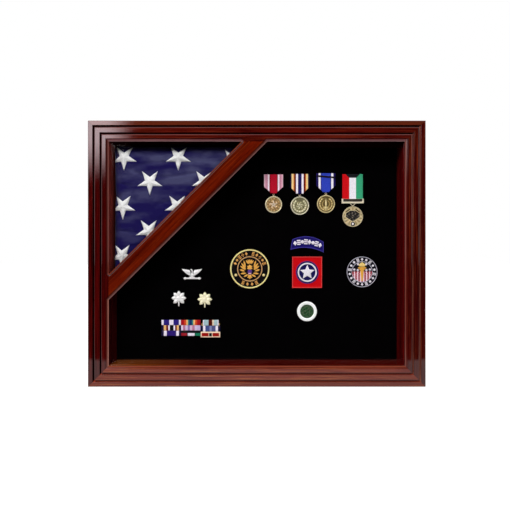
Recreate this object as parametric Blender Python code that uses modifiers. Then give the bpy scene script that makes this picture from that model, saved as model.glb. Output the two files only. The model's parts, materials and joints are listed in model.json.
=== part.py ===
"""A folded flag display case, modelled as the separate pieces that it is assembled from.

Run it with blender --background --python part.py, or from Blender's text editor. Units are metres, +Z is up, and
the front looks along -Y. The origin is the middle of the case's bottom face, at half the depth of the case.

A place on the face is given by its distances in from the left and top edges, see at(). Depth is given by v, the
distance in front of the plane of the rails' backs, see depth_y(). Flat pieces are drawn in a local frame whose
X, Y and Z are the world's +X, +Z and -Y, so that a front view reads like a drawing on paper.
"""

import math

import bmesh
import bpy
from mathutils import Matrix, Vector

# ---- Driving dimensions -------------------------------------------------------------------------------------

WIDTH = 0.597
HEIGHT = 0.4705
DEPTH = 0.076
GAP = 0.0003  # clearance between neighbouring pieces

# Moulding: three bands, each (start, end, front v), counted in from the outer edge
FACE = 0.0381
WALL = 0.018
LIP_BACK = 0.064
BANDS = ((0.0, 0.0083, 0.069), (0.0118, 0.0220, 0.0725), (0.0252, FACE, DEPTH))
QUIRK_DEPTH = 0.002
SHOULDERS = (0.001, 0.002, 0.002)

# Bead round the inner edge of both openings
BEAD_WIDTH = 0.0052
BEAD_QUIRK = 0.0014
BEAD_FILLET = 0.0008
BEAD_LEDGE = 0.0003
BEAD_FLOOR = LIP_BACK + 0.0006
BEAD_CORNER = 0.0005

# Diagonal: s is the sum of the distances from the left and top edges, constant along a 45 degree line
DIAGONAL_S = 0.3321
BAR_WIDTH = 0.0325
PARTITION_THICKNESS = 0.012
LUG_STEP = 0.0003  # how far the partition's lugs stand back from its faces

# Layers, each (back v, front v)
BACK_PANEL_V = (0.0005, 0.005)
LINER_V = (0.0053, 0.0607)
FELT_BOARD_V = (0.0053, 0.0143)
GLASS_V = (0.061, 0.0637)
FLAG_V = (0.0055, 0.0440)
FELT = FELT_BOARD_V[1] + GAP  # back of everything that is pinned to the felt

# Hardware on the back
BUTTON_INSET = 0.009
BUTTON_LENGTH = 0.022
BUTTON_RADIUS = 0.005
BUTTON_THICKNESS = 0.0012
BUTTON_HOLE = 0.0019
SCREW_SHANK = 0.0013
SCREW_LENGTH = 0.012
PILOT_RADIUS = 0.0017
HANGER_DROP = 0.080
HANGER_WIDTH = 0.010
KNUCKLE_RADIUS = 0.0024
KNUCKLE_BORE = 0.0015
RING_WIRE = 0.0012
BUMPER_RADIUS = 0.006
BUMPER_HEIGHT = 0.005

# Medals
RIBBON_THICKNESS = 0.0024
RIBBON_WIDTH = 0.0355
MEDAL_THICKNESS = 0.0024
SWING_V = FELT + 0.0016  # depth of the line that the medals swing about
LINK_RADIUS = 0.0017
LINK_WIRE = 0.0004
LINK_TUBE = 0.0011
LINK_BORE = 0.0007
LINK_WIDTH = 0.0014
PATCH_THICKNESS = 0.0018

WELD = 0.00001
HALF_PI = math.pi / 2
SQRT2 = math.sqrt(2)

for old in list(bpy.data.objects):
    bpy.data.objects.remove(old)

CASE = bpy.data.collections.new("folded_flag_display_case")
CUTTERS = bpy.data.collections.new("cutters")
bpy.context.scene.collection.children.link(CASE)
bpy.context.scene.collection.children.link(CUTTERS)


# ---- Materials ----------------------------------------------------------------------------------------------


def linear(value):
    """An 8-bit sRGB value as the linear value that Blender's colours use."""
    share = value / 255
    return share / 12.92 if share <= 0.04045 else ((share + 0.055) / 1.055) ** 2.4


def finish(name, colour, roughness, metallic=0.0, transmission=0.0):
    """The Principled material of this name, made at its first use."""
    look = bpy.data.materials.get(name)
    if look is None:
        look = bpy.data.materials.new(name)
        look.use_nodes = True
        surface = look.node_tree.nodes["Principled BSDF"]
        surface.inputs["Base Color"].default_value = [linear(c) for c in colour] + [1.0]
        surface.inputs["Roughness"].default_value = roughness
        surface.inputs["Metallic"].default_value = metallic
        surface.inputs["Transmission Weight"].default_value = transmission
    return look


def mahogany():
    return finish("mahogany_lacquer", (78, 14, 8), 0.18)


def hardboard():
    return finish("hardboard", (92, 62, 40), 0.75)


def black_felt():
    return finish("black_felt", (8, 8, 9), 0.95)


def clear_glass():
    return finish("clear_glass", (250, 252, 250), 0.02, transmission=1.0)


def zinc():
    return finish("zinc_plate", (190, 190, 186), 0.35, metallic=1.0)


def gold_metal():
    return finish("gold_metal", (196, 164, 96), 0.3, metallic=1.0)


def silver_metal():
    return finish("silver_metal", (205, 205, 205), 0.28, metallic=1.0)


def rubber():
    return finish("bumper_rubber", (60, 58, 55), 0.8)


def cloth(name, colour):
    return finish(name, colour, 0.85)


# ---- Places and outlines ------------------------------------------------------------------------------------


def at(from_left, from_top):
    """(x, z) of a point this far in from the case's left and top edges."""
    return (-WIDTH / 2 + from_left, HEIGHT - from_top)


def depth_y(v):
    """World y of a point this far in front of the rails' backs."""
    return DEPTH / 2 - v


def arc(centre, radius, start, end, steps):
    """Points along an arc, from start to end in degrees."""
    angles = [math.radians(start + (end - start) * i / steps) for i in range(steps + 1)]
    return [(centre[0] + radius * math.cos(a), centre[1] + radius * math.sin(a)) for a in angles]


def circle(radius, steps, centre=(0.0, 0.0)):
    return arc(centre, radius, 0, 360 * (steps - 1) / steps, steps - 1)


def rectangle(width, height, centre=(0.0, 0.0)):
    x, y = centre
    return [(x + i * width / 2, y + j * height / 2) for i, j in ((-1, -1), (1, -1), (1, 1), (-1, 1))]


def capsule(start, end, radius, steps):
    """A bar with round ends, whose end centres are at x = start and x = end."""
    return arc((end, 0), radius, -90, 90, steps) + arc((start, 0), radius, 90, 270, steps)


def arc_between(start, end, rise, steps):
    """An arc over the chord from start to end, bulging to the left of the way there by rise."""
    a, b = Vector(start), Vector(end)
    half = (b - a).length / 2
    radius = (half**2 + rise**2) / (2 * abs(rise))
    side = Vector((a.y - b.y, b.x - a.x)).normalized() * math.copysign(1, rise)
    centre = (a + b) / 2 + side * (abs(rise) - radius)
    sweep = 2 * math.asin(min(1.0, half / radius)) * -math.copysign(1, rise)
    spoke = a - centre
    turns = [Matrix.Rotation(sweep * i / steps, 2) for i in range(steps + 1)]
    return [tuple(centre + turn @ spoke) for turn in turns]


def edge_normals(points):
    """The outward unit normal of the edge that leaves each point of a counterclockwise polygon."""
    normals = []
    for start, end in zip(points, points[1:] + points[:1]):
        along = Vector(end) - Vector(start)
        normals.append(Vector((along.y, -along.x)).normalized())
    return normals


def grown(points, distance):
    """A convex counterclockwise polygon with each edge moved out by distance."""
    normals = edge_normals(points)
    result = []
    for i, point in enumerate(points):
        before, after = normals[i - 1], normals[i]
        result.append(tuple(Vector(point) + (before + after) * distance / (1 + before.dot(after))))
    return result


def rounded(points, radius, degrees_a_step=22.5, keep_square=False):
    """A convex counterclockwise polygon with each corner an arc of this radius, apart from square ones if kept."""
    normals = edge_normals(points)
    result = []
    for i, centre in enumerate(grown(points, -radius)):
        start = math.degrees(math.atan2(normals[i - 1].y, normals[i - 1].x))
        turn = (math.degrees(math.atan2(normals[i].y, normals[i].x)) - start) % 360
        if keep_square and abs(turn - 90) < 0.1:
            result.append(tuple(points[i]))
        else:
            result += arc(centre, radius, start, start + turn, max(1, round(turn / degrees_a_step)))
    return result


def flag_region(inset, s):
    """The triangle this far in from the left and top edges, and cut off along the diagonal s."""
    return [at(inset, inset), at(inset, s - inset), at(s - inset, inset)]


def medal_region(inset, s):
    """The five-sided region on the other side of the diagonal s, this far in from the case's edges."""
    return [
        at(s - inset, inset),
        at(inset, s - inset),
        at(inset, HEIGHT - inset),
        at(WIDTH - inset, HEIGHT - inset),
        at(WIDTH - inset, inset),
    ]


def diagonal_strip(inset, width):
    """A strip of this width along the diagonal, whose ends are this far in from the left and top edges."""
    low, high = DIAGONAL_S - width / SQRT2, DIAGONAL_S + width / SQRT2
    return [at(low - inset, inset), at(inset, low - inset), at(inset, high - inset), at(high - inset, inset)]


# ---- Objects ------------------------------------------------------------------------------------------------


def weld(mesh):
    shape = bmesh.new()
    shape.from_mesh(mesh)
    bmesh.ops.remove_doubles(shape, verts=shape.verts, dist=WELD)
    bmesh.ops.recalc_face_normals(shape, faces=shape.faces)
    shape.to_mesh(mesh)
    shape.free()


def evaluated_mesh(obj):
    graph = bpy.context.evaluated_depsgraph_get()
    return bpy.data.meshes.new_from_object(obj.evaluated_get(graph))


def flat_mesh(name, loops, thickness):
    """An outline, with any holes after it, as a closed mesh this thick about its own XY plane."""
    curve = bpy.data.curves.new(name, "CURVE")
    curve.dimensions = "2D"
    curve.fill_mode = "BOTH"
    curve.extrude = thickness / 2
    for loop in loops:
        spline = curve.splines.new("POLY")
        spline.points.add(len(loop) - 1)
        for point, (x, y) in zip(spline.points, loop):
            point.co = (x, y, 0.0, 1.0)
        spline.use_cyclic_u = True
    drawing = bpy.data.objects.new(name, curve)
    CASE.objects.link(drawing)
    mesh = evaluated_mesh(drawing)
    bpy.data.objects.remove(drawing)
    bpy.data.curves.remove(curve)
    weld(mesh)
    return mesh


def node(name, data, look, location=(0.0, 0.0, 0.0), rotation=(0.0, 0.0, 0.0), parent=None):
    """One piece of the case."""
    obj = bpy.data.objects.new(name, data)
    CASE.objects.link(obj)
    obj.location = location
    obj.rotation_euler = rotation
    obj.parent = parent
    if not data.materials:
        data.materials.append(look)
    return obj


def cutter(name, data, location=(0.0, 0.0, 0.0), rotation=(0.0, 0.0, 0.0), parent=None):
    """A helper that only shapes other pieces."""
    obj = bpy.data.objects.new(name, data)
    CUTTERS.objects.link(obj)
    obj.location = location
    obj.rotation_euler = rotation
    obj.parent = parent
    obj.hide_render = True
    obj.display_type = "WIRE"
    return obj


def boolean(obj, other, operation="DIFFERENCE"):
    step = obj.modifiers.new(other.name, "BOOLEAN")
    step.operation = operation
    step.object = other
    step.solver = "EXACT"


def box_mesh(name, size):
    mesh = bpy.data.meshes.new(name)
    shape = bmesh.new()
    bmesh.ops.create_cube(shape, size=1.0, matrix=Matrix.Diagonal((*size, 1.0)))
    shape.to_mesh(mesh)
    shape.free()
    return mesh


def rod_mesh(name, radius, length, sides):
    """A cylinder along its own Z, centred."""
    mesh = bpy.data.meshes.new(name)
    shape = bmesh.new()
    bmesh.ops.create_cone(
        shape, cap_ends=True, segments=sides, radius1=radius, radius2=radius, depth=length
    )
    shape.to_mesh(mesh)
    shape.free()
    return mesh


def turned(name, look, profile, steps, location, rotation, parent=None):
    """A profile of (radius, height) points, running down its outer side, turned about its own Z."""
    mesh = bpy.data.meshes.new(name)
    shape = bmesh.new()
    points = [shape.verts.new((r, 0.0, h)) for r, h in profile]
    for start, end in zip(points, points[1:]):
        shape.edges.new((start, end))
    shape.to_mesh(mesh)
    shape.free()
    obj = node(name, mesh, look, location, rotation, parent)
    turn = obj.modifiers.new("turn", "SCREW")
    turn.angle = 2 * math.pi
    turn.steps = turn.render_steps = steps
    turn.use_merge_vertices = True
    turn.merge_threshold = WELD
    return obj


def wire_loop(name, look, points, radius, location, parent=None):
    """A closed wire through these points of the front view."""
    curve = bpy.data.curves.new(name, "CURVE")
    curve.dimensions = "3D"
    curve.bevel_depth = radius
    curve.bevel_resolution = 1
    spline = curve.splines.new("POLY")
    spline.points.add(len(points) - 1)
    for point, (x, y) in zip(spline.points, points):
        point.co = (x, y, 0.0, 1.0)
    spline.use_cyclic_u = True
    return node(name, curve, look, location, (HALF_PI, 0.0, 0.0), parent)


def slab(name, loops, layer, look, centre=(0.0, 0.0), turn=0.0, parent=None):
    """A flat piece between two depths; its outline is drawn about centre, and turned about the world's Y."""
    back, front = layer
    mesh = flat_mesh(name, loops, front - back)
    place = Vector((centre[0], depth_y((front + back) / 2), centre[1]))
    if parent:
        place -= parent.location
    return node(name, mesh, look, place, (HALF_PI, turn, 0.0), parent)


def pivot(name, location):
    """An empty on a joint's axis."""
    empty = bpy.data.objects.new(name, None)
    empty.empty_display_size = 0.01
    CASE.objects.link(empty)
    empty.location = location
    return empty


# ---- Wooden frame -------------------------------------------------------------------------------------------


def rail_profile():
    """The moulding's section: x is the distance in from the outer edge and y is v."""
    points = [(0.0, 0.0), (WALL, 0.0), (WALL, LIP_BACK), (FACE, LIP_BACK)]
    for i in reversed(range(len(BANDS))):
        start, end, top = BANDS[i]
        radius = SHOULDERS[i]
        points.append((end, top))
        points += arc((start + radius, top - radius), radius, 90, 180, 4 if i else 2)
        if i:
            floor = BANDS[i - 1][2] - QUIRK_DEPTH
            points += [(start, floor), (BANDS[i - 1][1], floor)]
    return points


def rail(name, length, inward, middle):
    """A mitred length of moulding; inward is the world direction of its face's width, middle its outer edge."""
    mesh = flat_mesh(name, [rail_profile()], length)
    for vertex in mesh.vertices:
        reach = length / 2 - vertex.co.x - GAP / SQRT2
        vertex.co.z = math.copysign(reach, vertex.co.z)
    forward = Vector((0.0, -1.0, 0.0))
    axes = Matrix((inward, forward, inward.cross(forward))).transposed()
    obj = node(name, mesh, mahogany())
    obj.matrix_world = Matrix.Translation(middle) @ axes.to_4x4()
    return obj


def bead_path(name, opening):
    """The wood that is taken off round an opening: a quirk, and below it a tall bead, mitred at square corners."""
    top, start = DEPTH - BEAD_QUIRK, BEAD_WIDTH - BEAD_FILLET
    wide, high = start - BEAD_LEDGE, top - BEAD_FLOOR
    levels = [(BEAD_WIDTH, DEPTH + 0.001), (BEAD_WIDTH, top)]
    levels += [(start - h * wide, BEAD_FLOOR + v * high) for v, h in arc((0.0, 0.0), 1.0, 0, 90, 6)]
    levels += [(-0.001, BEAD_FLOOR)]
    shape = bmesh.new()
    rings = []
    for width, v in levels:
        outline = rounded(grown(opening, width), BEAD_CORNER + max(width, 0.0), keep_square=True)
        rings.append([shape.verts.new((x, z, v)) for x, z in outline])
    for upper, lower in zip(rings, rings[1:]):
        for i in range(len(upper)):
            shape.faces.new((upper[i - 1], upper[i], lower[i], lower[i - 1]))
    shape.faces.new(rings[0])
    shape.faces.new(rings[-1])
    bmesh.ops.recalc_face_normals(shape, faces=shape.faces)
    mesh = bpy.data.meshes.new(name)
    shape.to_mesh(mesh)
    shape.free()
    return cutter(name, mesh, (0.0, DEPTH / 2, 0.0), (HALF_PI, 0.0, 0.0))


def drill(obj, x, z):
    """A pilot hole from the back."""
    reach = SCREW_LENGTH + 0.003
    mesh = rod_mesh("pilot", PILOT_RADIUS, reach + 0.002, 10)
    bit = cutter(f"pilot_{len(CUTTERS.objects)}", mesh, (x, depth_y(reach / 2 - 0.001), z), (HALF_PI, 0.0, 0.0))
    boolean(obj, bit)


def wooden_frame():
    x, z = Vector((1.0, 0.0, 0.0)), Vector((0.0, 0.0, 1.0))
    back = Vector((0.0, DEPTH / 2, 0.0))
    top = rail("rail_top", WIDTH, -z, back + z * HEIGHT)
    bottom = rail("rail_bottom", WIDTH, z, back)
    left = rail("stile_left", HEIGHT, x, back + z * HEIGHT / 2 - x * WIDTH / 2)
    right = rail("stile_right", HEIGHT, -x, back + z * HEIGHT / 2 + x * WIDTH / 2)
    bar = slab("diagonal_face_bar", [diagonal_strip(FACE + GAP, BAR_WIDTH)], (LIP_BACK, DEPTH), mahogany())
    flag_path = bead_path("flag_opening", flag_region(FACE, DIAGONAL_S - BAR_WIDTH / SQRT2))
    medal_path = bead_path("medal_opening", medal_region(FACE, DIAGONAL_S + BAR_WIDTH / SQRT2))
    for piece in (top, left, bar):
        boolean(piece, flag_path)
    for piece in (top, left, bar, bottom, right):
        boolean(piece, medal_path)
    return {"top": top, "bottom": bottom, "left": left, "right": right}


def liners():
    """Four strips that back up the lip, close the glass in and hold the back panels off."""
    inner, outer = FACE, WALL + GAP
    middle_v, deep = sum(LINER_V) / 2, LINER_V[1] - LINER_V[0]
    across = WIDTH - 2 * outer
    upright = HEIGHT - 2 * inner - 2 * GAP
    centre = (inner + outer) / 2
    for name, size, x, z in (
        ("liner_top", (across, deep, inner - outer), 0.0, HEIGHT - centre),
        ("liner_bottom", (across, deep, inner - outer), 0.0, centre),
        ("liner_left", (inner - outer, deep, upright), -WIDTH / 2 + centre, HEIGHT / 2),
        ("liner_right", (inner - outer, deep, upright), WIDTH / 2 - centre, HEIGHT / 2),
    ):
        node(name, box_mesh(name, size), mahogany(), (x, depth_y(middle_v), z))


def partition():
    """The board behind the diagonal bar, which parts the flag's box from the medals' box.

    Its back edge runs on past the liners as two lugs, which fill the slot between the back panels.
    """
    outline = diagonal_strip(FACE + GAP, PARTITION_THICKNESS)
    board = slab("diagonal_partition", [outline], (0.0, LINER_V[1]), mahogany())
    back, front = LUG_STEP, LINER_V[0] - GAP
    outline = diagonal_strip(WALL + GAP, PARTITION_THICKNESS - 2 * LUG_STEP)
    spine = flat_mesh("partition_lugs", [outline], front - back)
    place = (0.0, depth_y((front + back) / 2), 0.0)
    boolean(board, cutter("partition_lugs", spine, place, (HALF_PI, 0.0, 0.0)), "UNION")
    return board


def panels():
    inset = WALL + 0.0005
    clear = PARTITION_THICKNESS / SQRT2 + 0.0007
    flag_s, medal_s = DIAGONAL_S - clear, DIAGONAL_S + clear
    slab("flag_back_panel", [flag_region(inset, flag_s)], BACK_PANEL_V, hardboard())
    slab("medal_back_panel", [medal_region(inset, medal_s)], BACK_PANEL_V, hardboard())
    slab("medal_felt_board", [medal_region(FACE + 0.0005, medal_s)], FELT_BOARD_V, black_felt())
    pane = rectangle(WIDTH - 2 * WALL - 0.0016, HEIGHT - 2 * WALL - 0.0016, (0.0, HEIGHT / 2))
    slab("front_glass", [pane], GLASS_V, clear_glass())


def folded_flag():
    """A padded triangle, whose edges are the flag's folds."""
    clear = PARTITION_THICKNESS / SQRT2 + 0.0021
    outline = flag_region(FACE + 0.0015, DIAGONAL_S - clear)
    flag = slab("folded_flag", [outline], FLAG_V, cloth("flag_cotton", (62, 64, 96)))
    soften = flag.modifiers.new("folds", "BEVEL")
    soften.width = 0.007
    soften.segments = 3
    soften.limit_method = "ANGLE"


# ---- Hardware on the back -----------------------------------------------------------------------------------


def screw_mesh():
    """A pan-head screw whose local Z points into the wood, with z = 0 at the back of the rails."""
    seat = -(GAP + BUTTON_THICKNESS + GAP)
    profile = [
        (0.0, SCREW_LENGTH),
        (SCREW_SHANK, SCREW_LENGTH - 0.002),
        (SCREW_SHANK, seat),
        (0.0032, seat),
        (0.0032, seat - 0.001),
        (0.0022, seat - 0.002),
        (0.0, seat - 0.002),
    ]
    screw = turned("screw_pattern", zinc(), profile, 12, (0.0, 0.0, 0.0), (0.0, 0.0, 0.0))
    slot = box_mesh("screw_slot", (0.0034, 0.0009, 0.002))
    for name, turn in (("screw_slot_a", 0.0), ("screw_slot_b", HALF_PI)):
        boolean(screw, cutter(name, slot, (0.0, 0.0, seat - 0.002), (0.0, 0.0, turn)))
    mesh = evaluated_mesh(screw)
    weld(mesh)
    bpy.data.objects.remove(screw)
    return mesh


def turn_button(name, mesh, wood, x, z, degrees, reach_back=0.0):
    """A turn-button and its screw; degrees is the arm's heading, from +X at 0 to -Z at 90."""
    outline = capsule(-reach_back, BUTTON_LENGTH, BUTTON_RADIUS, 6)
    layer = (-GAP - BUTTON_THICKNESS, -GAP)
    turn = math.radians(degrees)
    slab(f"turn_button_{name}", [outline, circle(BUTTON_HOLE, 10)], layer, zinc(), (x, z), turn)
    node(f"button_screw_{name}", mesh, zinc(), (x, DEPTH / 2, z), (HALF_PI, turn, 0.0))
    drill(wood, x, z)


def turn_buttons(wood, middle_board, screw):
    side, top = WIDTH / 2 - BUTTON_INSET, HEIGHT - BUTTON_INSET
    turn_button("flag_left", screw, wood["left"], -side, HEIGHT - 0.16, 0)
    turn_button("flag_top", screw, wood["top"], -WIDTH / 2 + 0.15, top, 90)
    turn_button("medal_top", screw, wood["top"], 0.14, top, 90)
    turn_button("medal_right", screw, wood["right"], side, HEIGHT / 2, 180)
    turn_button("medal_bottom_right", screw, wood["bottom"], 0.15, BUTTON_INSET, 270)
    turn_button("medal_bottom_left", screw, wood["bottom"], -0.15, BUTTON_INSET, 270)
    x, z = at(DIAGONAL_S / 2, DIAGONAL_S / 2)
    turn_button("diagonal", screw, middle_board, x, z, 45, BUTTON_LENGTH)


def hanger(side, x, screw, wood):
    """A strap hanger: a plate, a knuckle along X and the D-ring that turns in it."""
    axis_z = HEIGHT - HANGER_DROP
    screw_z = axis_z - 0.019
    knuckle_y = DEPTH / 2 + GAP + KNUCKLE_RADIUS
    half = HANGER_WIDTH / 2
    strap = [(half, 0.0), (-half, 0.0)] + arc((0.0, -0.022), half, 180, 360, 8)
    layer = (-GAP - BUTTON_THICKNESS, -GAP)
    hole = circle(BUTTON_HOLE, 10, (0.0, screw_z - axis_z))
    plate = slab(f"hanger_plate_{side}", [strap, hole], layer, zinc(), (x, axis_z))
    along_x = (0.0, HALF_PI, 0.0)
    knuckle = rod_mesh("knuckle", KNUCKLE_RADIUS, HANGER_WIDTH, 14)
    bore = rod_mesh("knuckle_bore", KNUCKLE_BORE, HANGER_WIDTH + 0.002, 12)
    boolean(plate, cutter(f"knuckle_{side}", knuckle, (x, knuckle_y, axis_z), along_x), "UNION")
    boolean(plate, cutter(f"knuckle_bore_{side}", bore, (x, knuckle_y, axis_z), along_x))
    node(f"hanger_screw_{side}", screw, zinc(), (x, DEPTH / 2, screw_z), (HALF_PI, 0.0, 0.0))
    drill(wood, x, screw_z)
    corner, wide, shoulder = 0.0018, 0.0072, 0.0045
    bend = arc((wide - corner, corner), corner, -90, 0, 3)
    crown = arc((0.0, shoulder), wide, 0, 180, 10)
    points = bend + crown + [(-px, pz) for px, pz in reversed(bend)]
    wire_loop(f"hanger_ring_{side}", zinc(), points, RING_WIRE, (x, knuckle_y, axis_z))


def wall_bumper(side, x):
    profile = [
        (0.0, -GAP),
        (BUMPER_RADIUS, -GAP),
        (BUMPER_RADIUS - 0.0005, -GAP - BUMPER_HEIGHT + 0.001),
        (BUMPER_RADIUS - 0.0015, -GAP - BUMPER_HEIGHT),
        (0.0, -GAP - BUMPER_HEIGHT),
    ]
    turned(f"wall_bumper_{side}", rubber(), profile, 20, (x, DEPTH / 2, BUTTON_INSET), (HALF_PI, 0.0, 0.0))


# ---- Medals -------------------------------------------------------------------------------------------------


def tube(obj, name, radius, bore, width, place, parent=None):
    """Joins a short tube along X to a piece, and opens its bore."""
    along_x = (0.0, HALF_PI, 0.0)
    outer = rod_mesh(name, radius, width, 12)
    inner = rod_mesh(f"{name}_bore", bore, width + 0.002, 12)
    boolean(obj, cutter(name, outer, place, along_x, parent), "UNION")
    boolean(obj, cutter(f"{name}_bore", inner, place, along_x, parent))


def disc_profile(radius, rim):
    """A struck disc: a sunk field inside a raised rim."""
    half, step = MEDAL_THICKNESS / 2, 0.0004
    return [
        (0.0, half - step),
        (radius - rim, half - step),
        (radius - rim + step, half),
        (radius - step, half),
        (radius, half - step),
        (radius, step - half),
        (radius - step, -half),
        (0.0, -half),
    ]


def medal_disc(number, radius, knob_z, swing, knob_width, knob_radius, knob_bore):
    """The disc under its knob; places are relative to the swing axis."""
    centre_z = knob_z - knob_radius + 0.0003 - radius
    upright = (HALF_PI, 0.0, 0.0)
    place = (0.0, 0.0, centre_z)
    disc = turned(
        f"medal_disc_{number}", gold_metal(), disc_profile(radius, 0.0018), 28, place, upright, swing
    )
    tube(disc, f"knob_{number}", knob_radius, knob_bore, knob_width, (0.0, 0.0, knob_z), swing)


def medal(number, x, top, tip, tip_width, disc_radius, colour):
    """A ribbon that narrows to a loop, with a disc that hangs from it on a jump ring."""
    half, narrow = RIBBON_WIDTH / 2, tip_width / 2
    right = [(narrow, tip), (narrow + 0.002, tip + 0.0035), (half, tip + 0.012), (half, top)]
    outline = right + [(-px, pz) for px, pz in reversed(right)]
    layer = (FELT, FELT + RIBBON_THICKNESS)
    ribbon = slab(f"medal_ribbon_{number}", [outline], layer, cloth(f"ribbon_{number}", colour), (x, 0.0))
    swing = pivot(f"medal_{number}_swing", (x, depth_y(SWING_V), tip - 0.0008))
    tube(ribbon, f"ribbon_loop_{number}", LINK_TUBE, LINK_BORE, LINK_WIDTH, tuple(swing.location))
    bpy.ops.mesh.primitive_torus_add(
        major_radius=LINK_RADIUS, minor_radius=LINK_WIRE, major_segments=20, minor_segments=6
    )
    ring_mesh = bpy.context.object.data
    bpy.data.objects.remove(bpy.context.object)
    node(f"medal_ring_{number}", ring_mesh, gold_metal(), (0.0, 0.0, -LINK_RADIUS), (HALF_PI, 0.0, 0.0), swing)
    medal_disc(number, disc_radius, -2 * LINK_RADIUS, swing, LINK_WIDTH, LINK_TUBE, LINK_BORE)


def bar_medal(number, x, top, bar_low, disc_radius, colour):
    """A straight ribbon in a channel bar, with a disc that hangs from the bar on a three-sided link."""
    half, bar_half, bar_high, floor = 0.019, 0.0204, 0.0063, 0.0032
    ribbon = rectangle(2 * half, top - bar_low - floor - GAP, (0.0, (top + bar_low + floor + GAP) / 2))
    layer = (FELT, FELT + RIBBON_THICKNESS)
    slab(f"medal_ribbon_{number}", [ribbon], layer, cloth(f"ribbon_{number}", colour), (x, 0.0))
    notch = half + GAP
    right = [(bar_half, bar_low), (bar_half, bar_low + bar_high), (notch, bar_low + bar_high), (notch, bar_low + floor)]
    channel = right + [(-px, pz) for px, pz in reversed(right)]
    bar_layer = (FELT, FELT + RIBBON_THICKNESS + 0.0008)
    bar = slab(f"medal_bar_{number}", [channel], bar_layer, gold_metal(), (x, 0.0))
    swing = pivot(f"medal_{number}_swing", (x, depth_y(SWING_V), bar_low - 0.0009))
    tube(bar, f"bar_loop_{number}", 0.0013, 0.0009, 0.0036, tuple(swing.location))
    triangle = [(-0.0068, 0.0), (0.0, -0.0062), (0.0068, 0.0)]
    link = rounded(triangle, 0.0014, 30)
    wire_loop(f"medal_ring_{number}", gold_metal(), link, 0.0005, (0.0, 0.0, 0.0), swing)
    lowest = min(z for _, z in link)
    medal_disc(number, disc_radius, lowest, swing, LINK_WIDTH, 0.0013, 0.0009)


# ---- Patches and pins ---------------------------------------------------------------------------------------


def patches():
    layer = (FELT, FELT + PATCH_THICKNESS)
    upper = arc_between((-0.0292, -0.0081), (0.0292, -0.0081), 0.0081, 14)
    lower = arc_between((0.0312, -0.0280), (-0.0312, -0.0280), -0.0063, 14)
    tilt = math.radians(4.5)
    slab("tab_patch", [list(reversed(upper + lower))], layer, cloth("tab_blue", (34, 30, 96)), (0.0955, 0.2674), tilt)
    square = rectangle(0.0556, 0.0583)
    slab("square_patch", [square], layer, cloth("square_red", (190, 14, 24)), (0.0935, 0.2006))
    gold = cloth("patch_gold", (188, 150, 84))
    silver = cloth("patch_silver", (160, 162, 172))
    slab("gold_round_patch", [circle(0.0365, 48)], layer, gold, (-0.0130, 0.2070))
    slab("silver_round_patch", [circle(0.0284, 40)], layer, silver, (0.1955, 0.2014))


def round_pin():
    radius, inner = 0.0185, 0.0127
    profile = [
        (0.0, 0.0020),
        (inner, 0.0018),
        (inner + 0.0006, 0.0026),
        (radius - 0.001, 0.0026),
        (radius, 0.0016),
        (radius, 0.0),
        (0.0, 0.0),
    ]
    look = finish("pin_enamel", (225, 232, 228), 0.25)
    turned("round_pin", look, profile, 36, (0.0932, depth_y(FELT), 0.1281), (HALF_PI, 0.0, 0.0))


def bird_pin():
    """A bird with spread wings, standing on a bar."""
    wing = [
        (0.0160, -0.0104),
        (0.0160, -0.0052),
        (0.0030, -0.0050),
        (0.0058, -0.0010),
        (0.0128, 0.0022),
        (0.0200, 0.0084),
        (0.0196, 0.0100),
        (0.0060, 0.0094),
        (0.0044, 0.0046),
        (0.0026, 0.0050),
        (0.0022, 0.0096),
    ]
    outline = wing + [(-x, z) for x, z in reversed(wing)]
    slab("bird_pin", [outline], (FELT, FELT + 0.0022), silver_metal(), (-0.1203, 0.1982))


def leaf_pins():
    """Two leaf clusters, each seven pointed lobes and a stem round a common centre."""
    lobes, points_a_lobe = 8, 6
    outline = []
    for i in range(lobes * points_a_lobe):
        turn = 2 * math.pi * i / (lobes * points_a_lobe)
        lobe = 0.5 + 0.5 * math.cos(turn * lobes)
        stem = math.cos((turn + HALF_PI) / 2) ** 16
        reach = 0.0095 + 0.0046 * lobe**0.7 + 0.0010 * stem
        outline.append((reach * 0.96 * math.cos(turn), reach * math.sin(turn)))
    layer = (FELT, FELT + 0.0022)
    slab("leaf_pin_left", [outline], layer, silver_metal(), (-0.1448, 0.1526))
    pale_gold = finish("pale_gold_metal", (222, 216, 176), 0.3, metallic=1.0)
    slab("leaf_pin_right", [outline], layer, pale_gold, (-0.0965, 0.1502))


def ribbon_rack():
    """Three columns of three service ribbons on one holder; the right-hand column sits a little lower."""
    half, step, top, low, jog = 0.0547, 0.0180, 0.0160, -0.0140, -0.0168
    outline = [(-half, low), (step, low), (step, jog), (half, jog), (half, top), (-half, top)]
    slab("ribbon_rack", [outline], (FELT, FELT + 0.0025), cloth("service_ribbons", (70, 60, 120)), (-0.1223, 0.0964))


# ---- Assembly -----------------------------------------------------------------------------------------------


def smooth_round_pieces():
    for obj in CASE.objects:
        if obj.type == "MESH":
            obj.data.shade_smooth()
            obj.data.set_sharp_from_angle(angle=math.radians(35))


def build():
    wood = wooden_frame()
    liners()
    middle_board = partition()
    panels()
    folded_flag()
    screw = screw_mesh()
    turn_buttons(wood, middle_board, screw)
    side = WIDTH / 2 - BUTTON_INSET
    hanger("left", -side, screw, wood["left"])
    hanger("right", side, screw, wood["right"])
    wall_bumper("left", -side)
    wall_bumper("right", side)
    medal(1, 0.0312, 0.3823, 0.3472, 0.0120, 0.0158, (190, 60, 80))
    medal(2, 0.0798, 0.3834, 0.3465, 0.0140, 0.0172, (60, 50, 110))
    medal(3, 0.1283, 0.3846, 0.3492, 0.0120, 0.0168, (50, 60, 160))
    bar_medal(4, 0.1780, 0.3829, 0.3307, 0.0191, (200, 60, 60))
    patches()
    round_pin()
    bird_pin()
    leaf_pins()
    ribbon_rack()
    smooth_round_pieces()


build()
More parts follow.
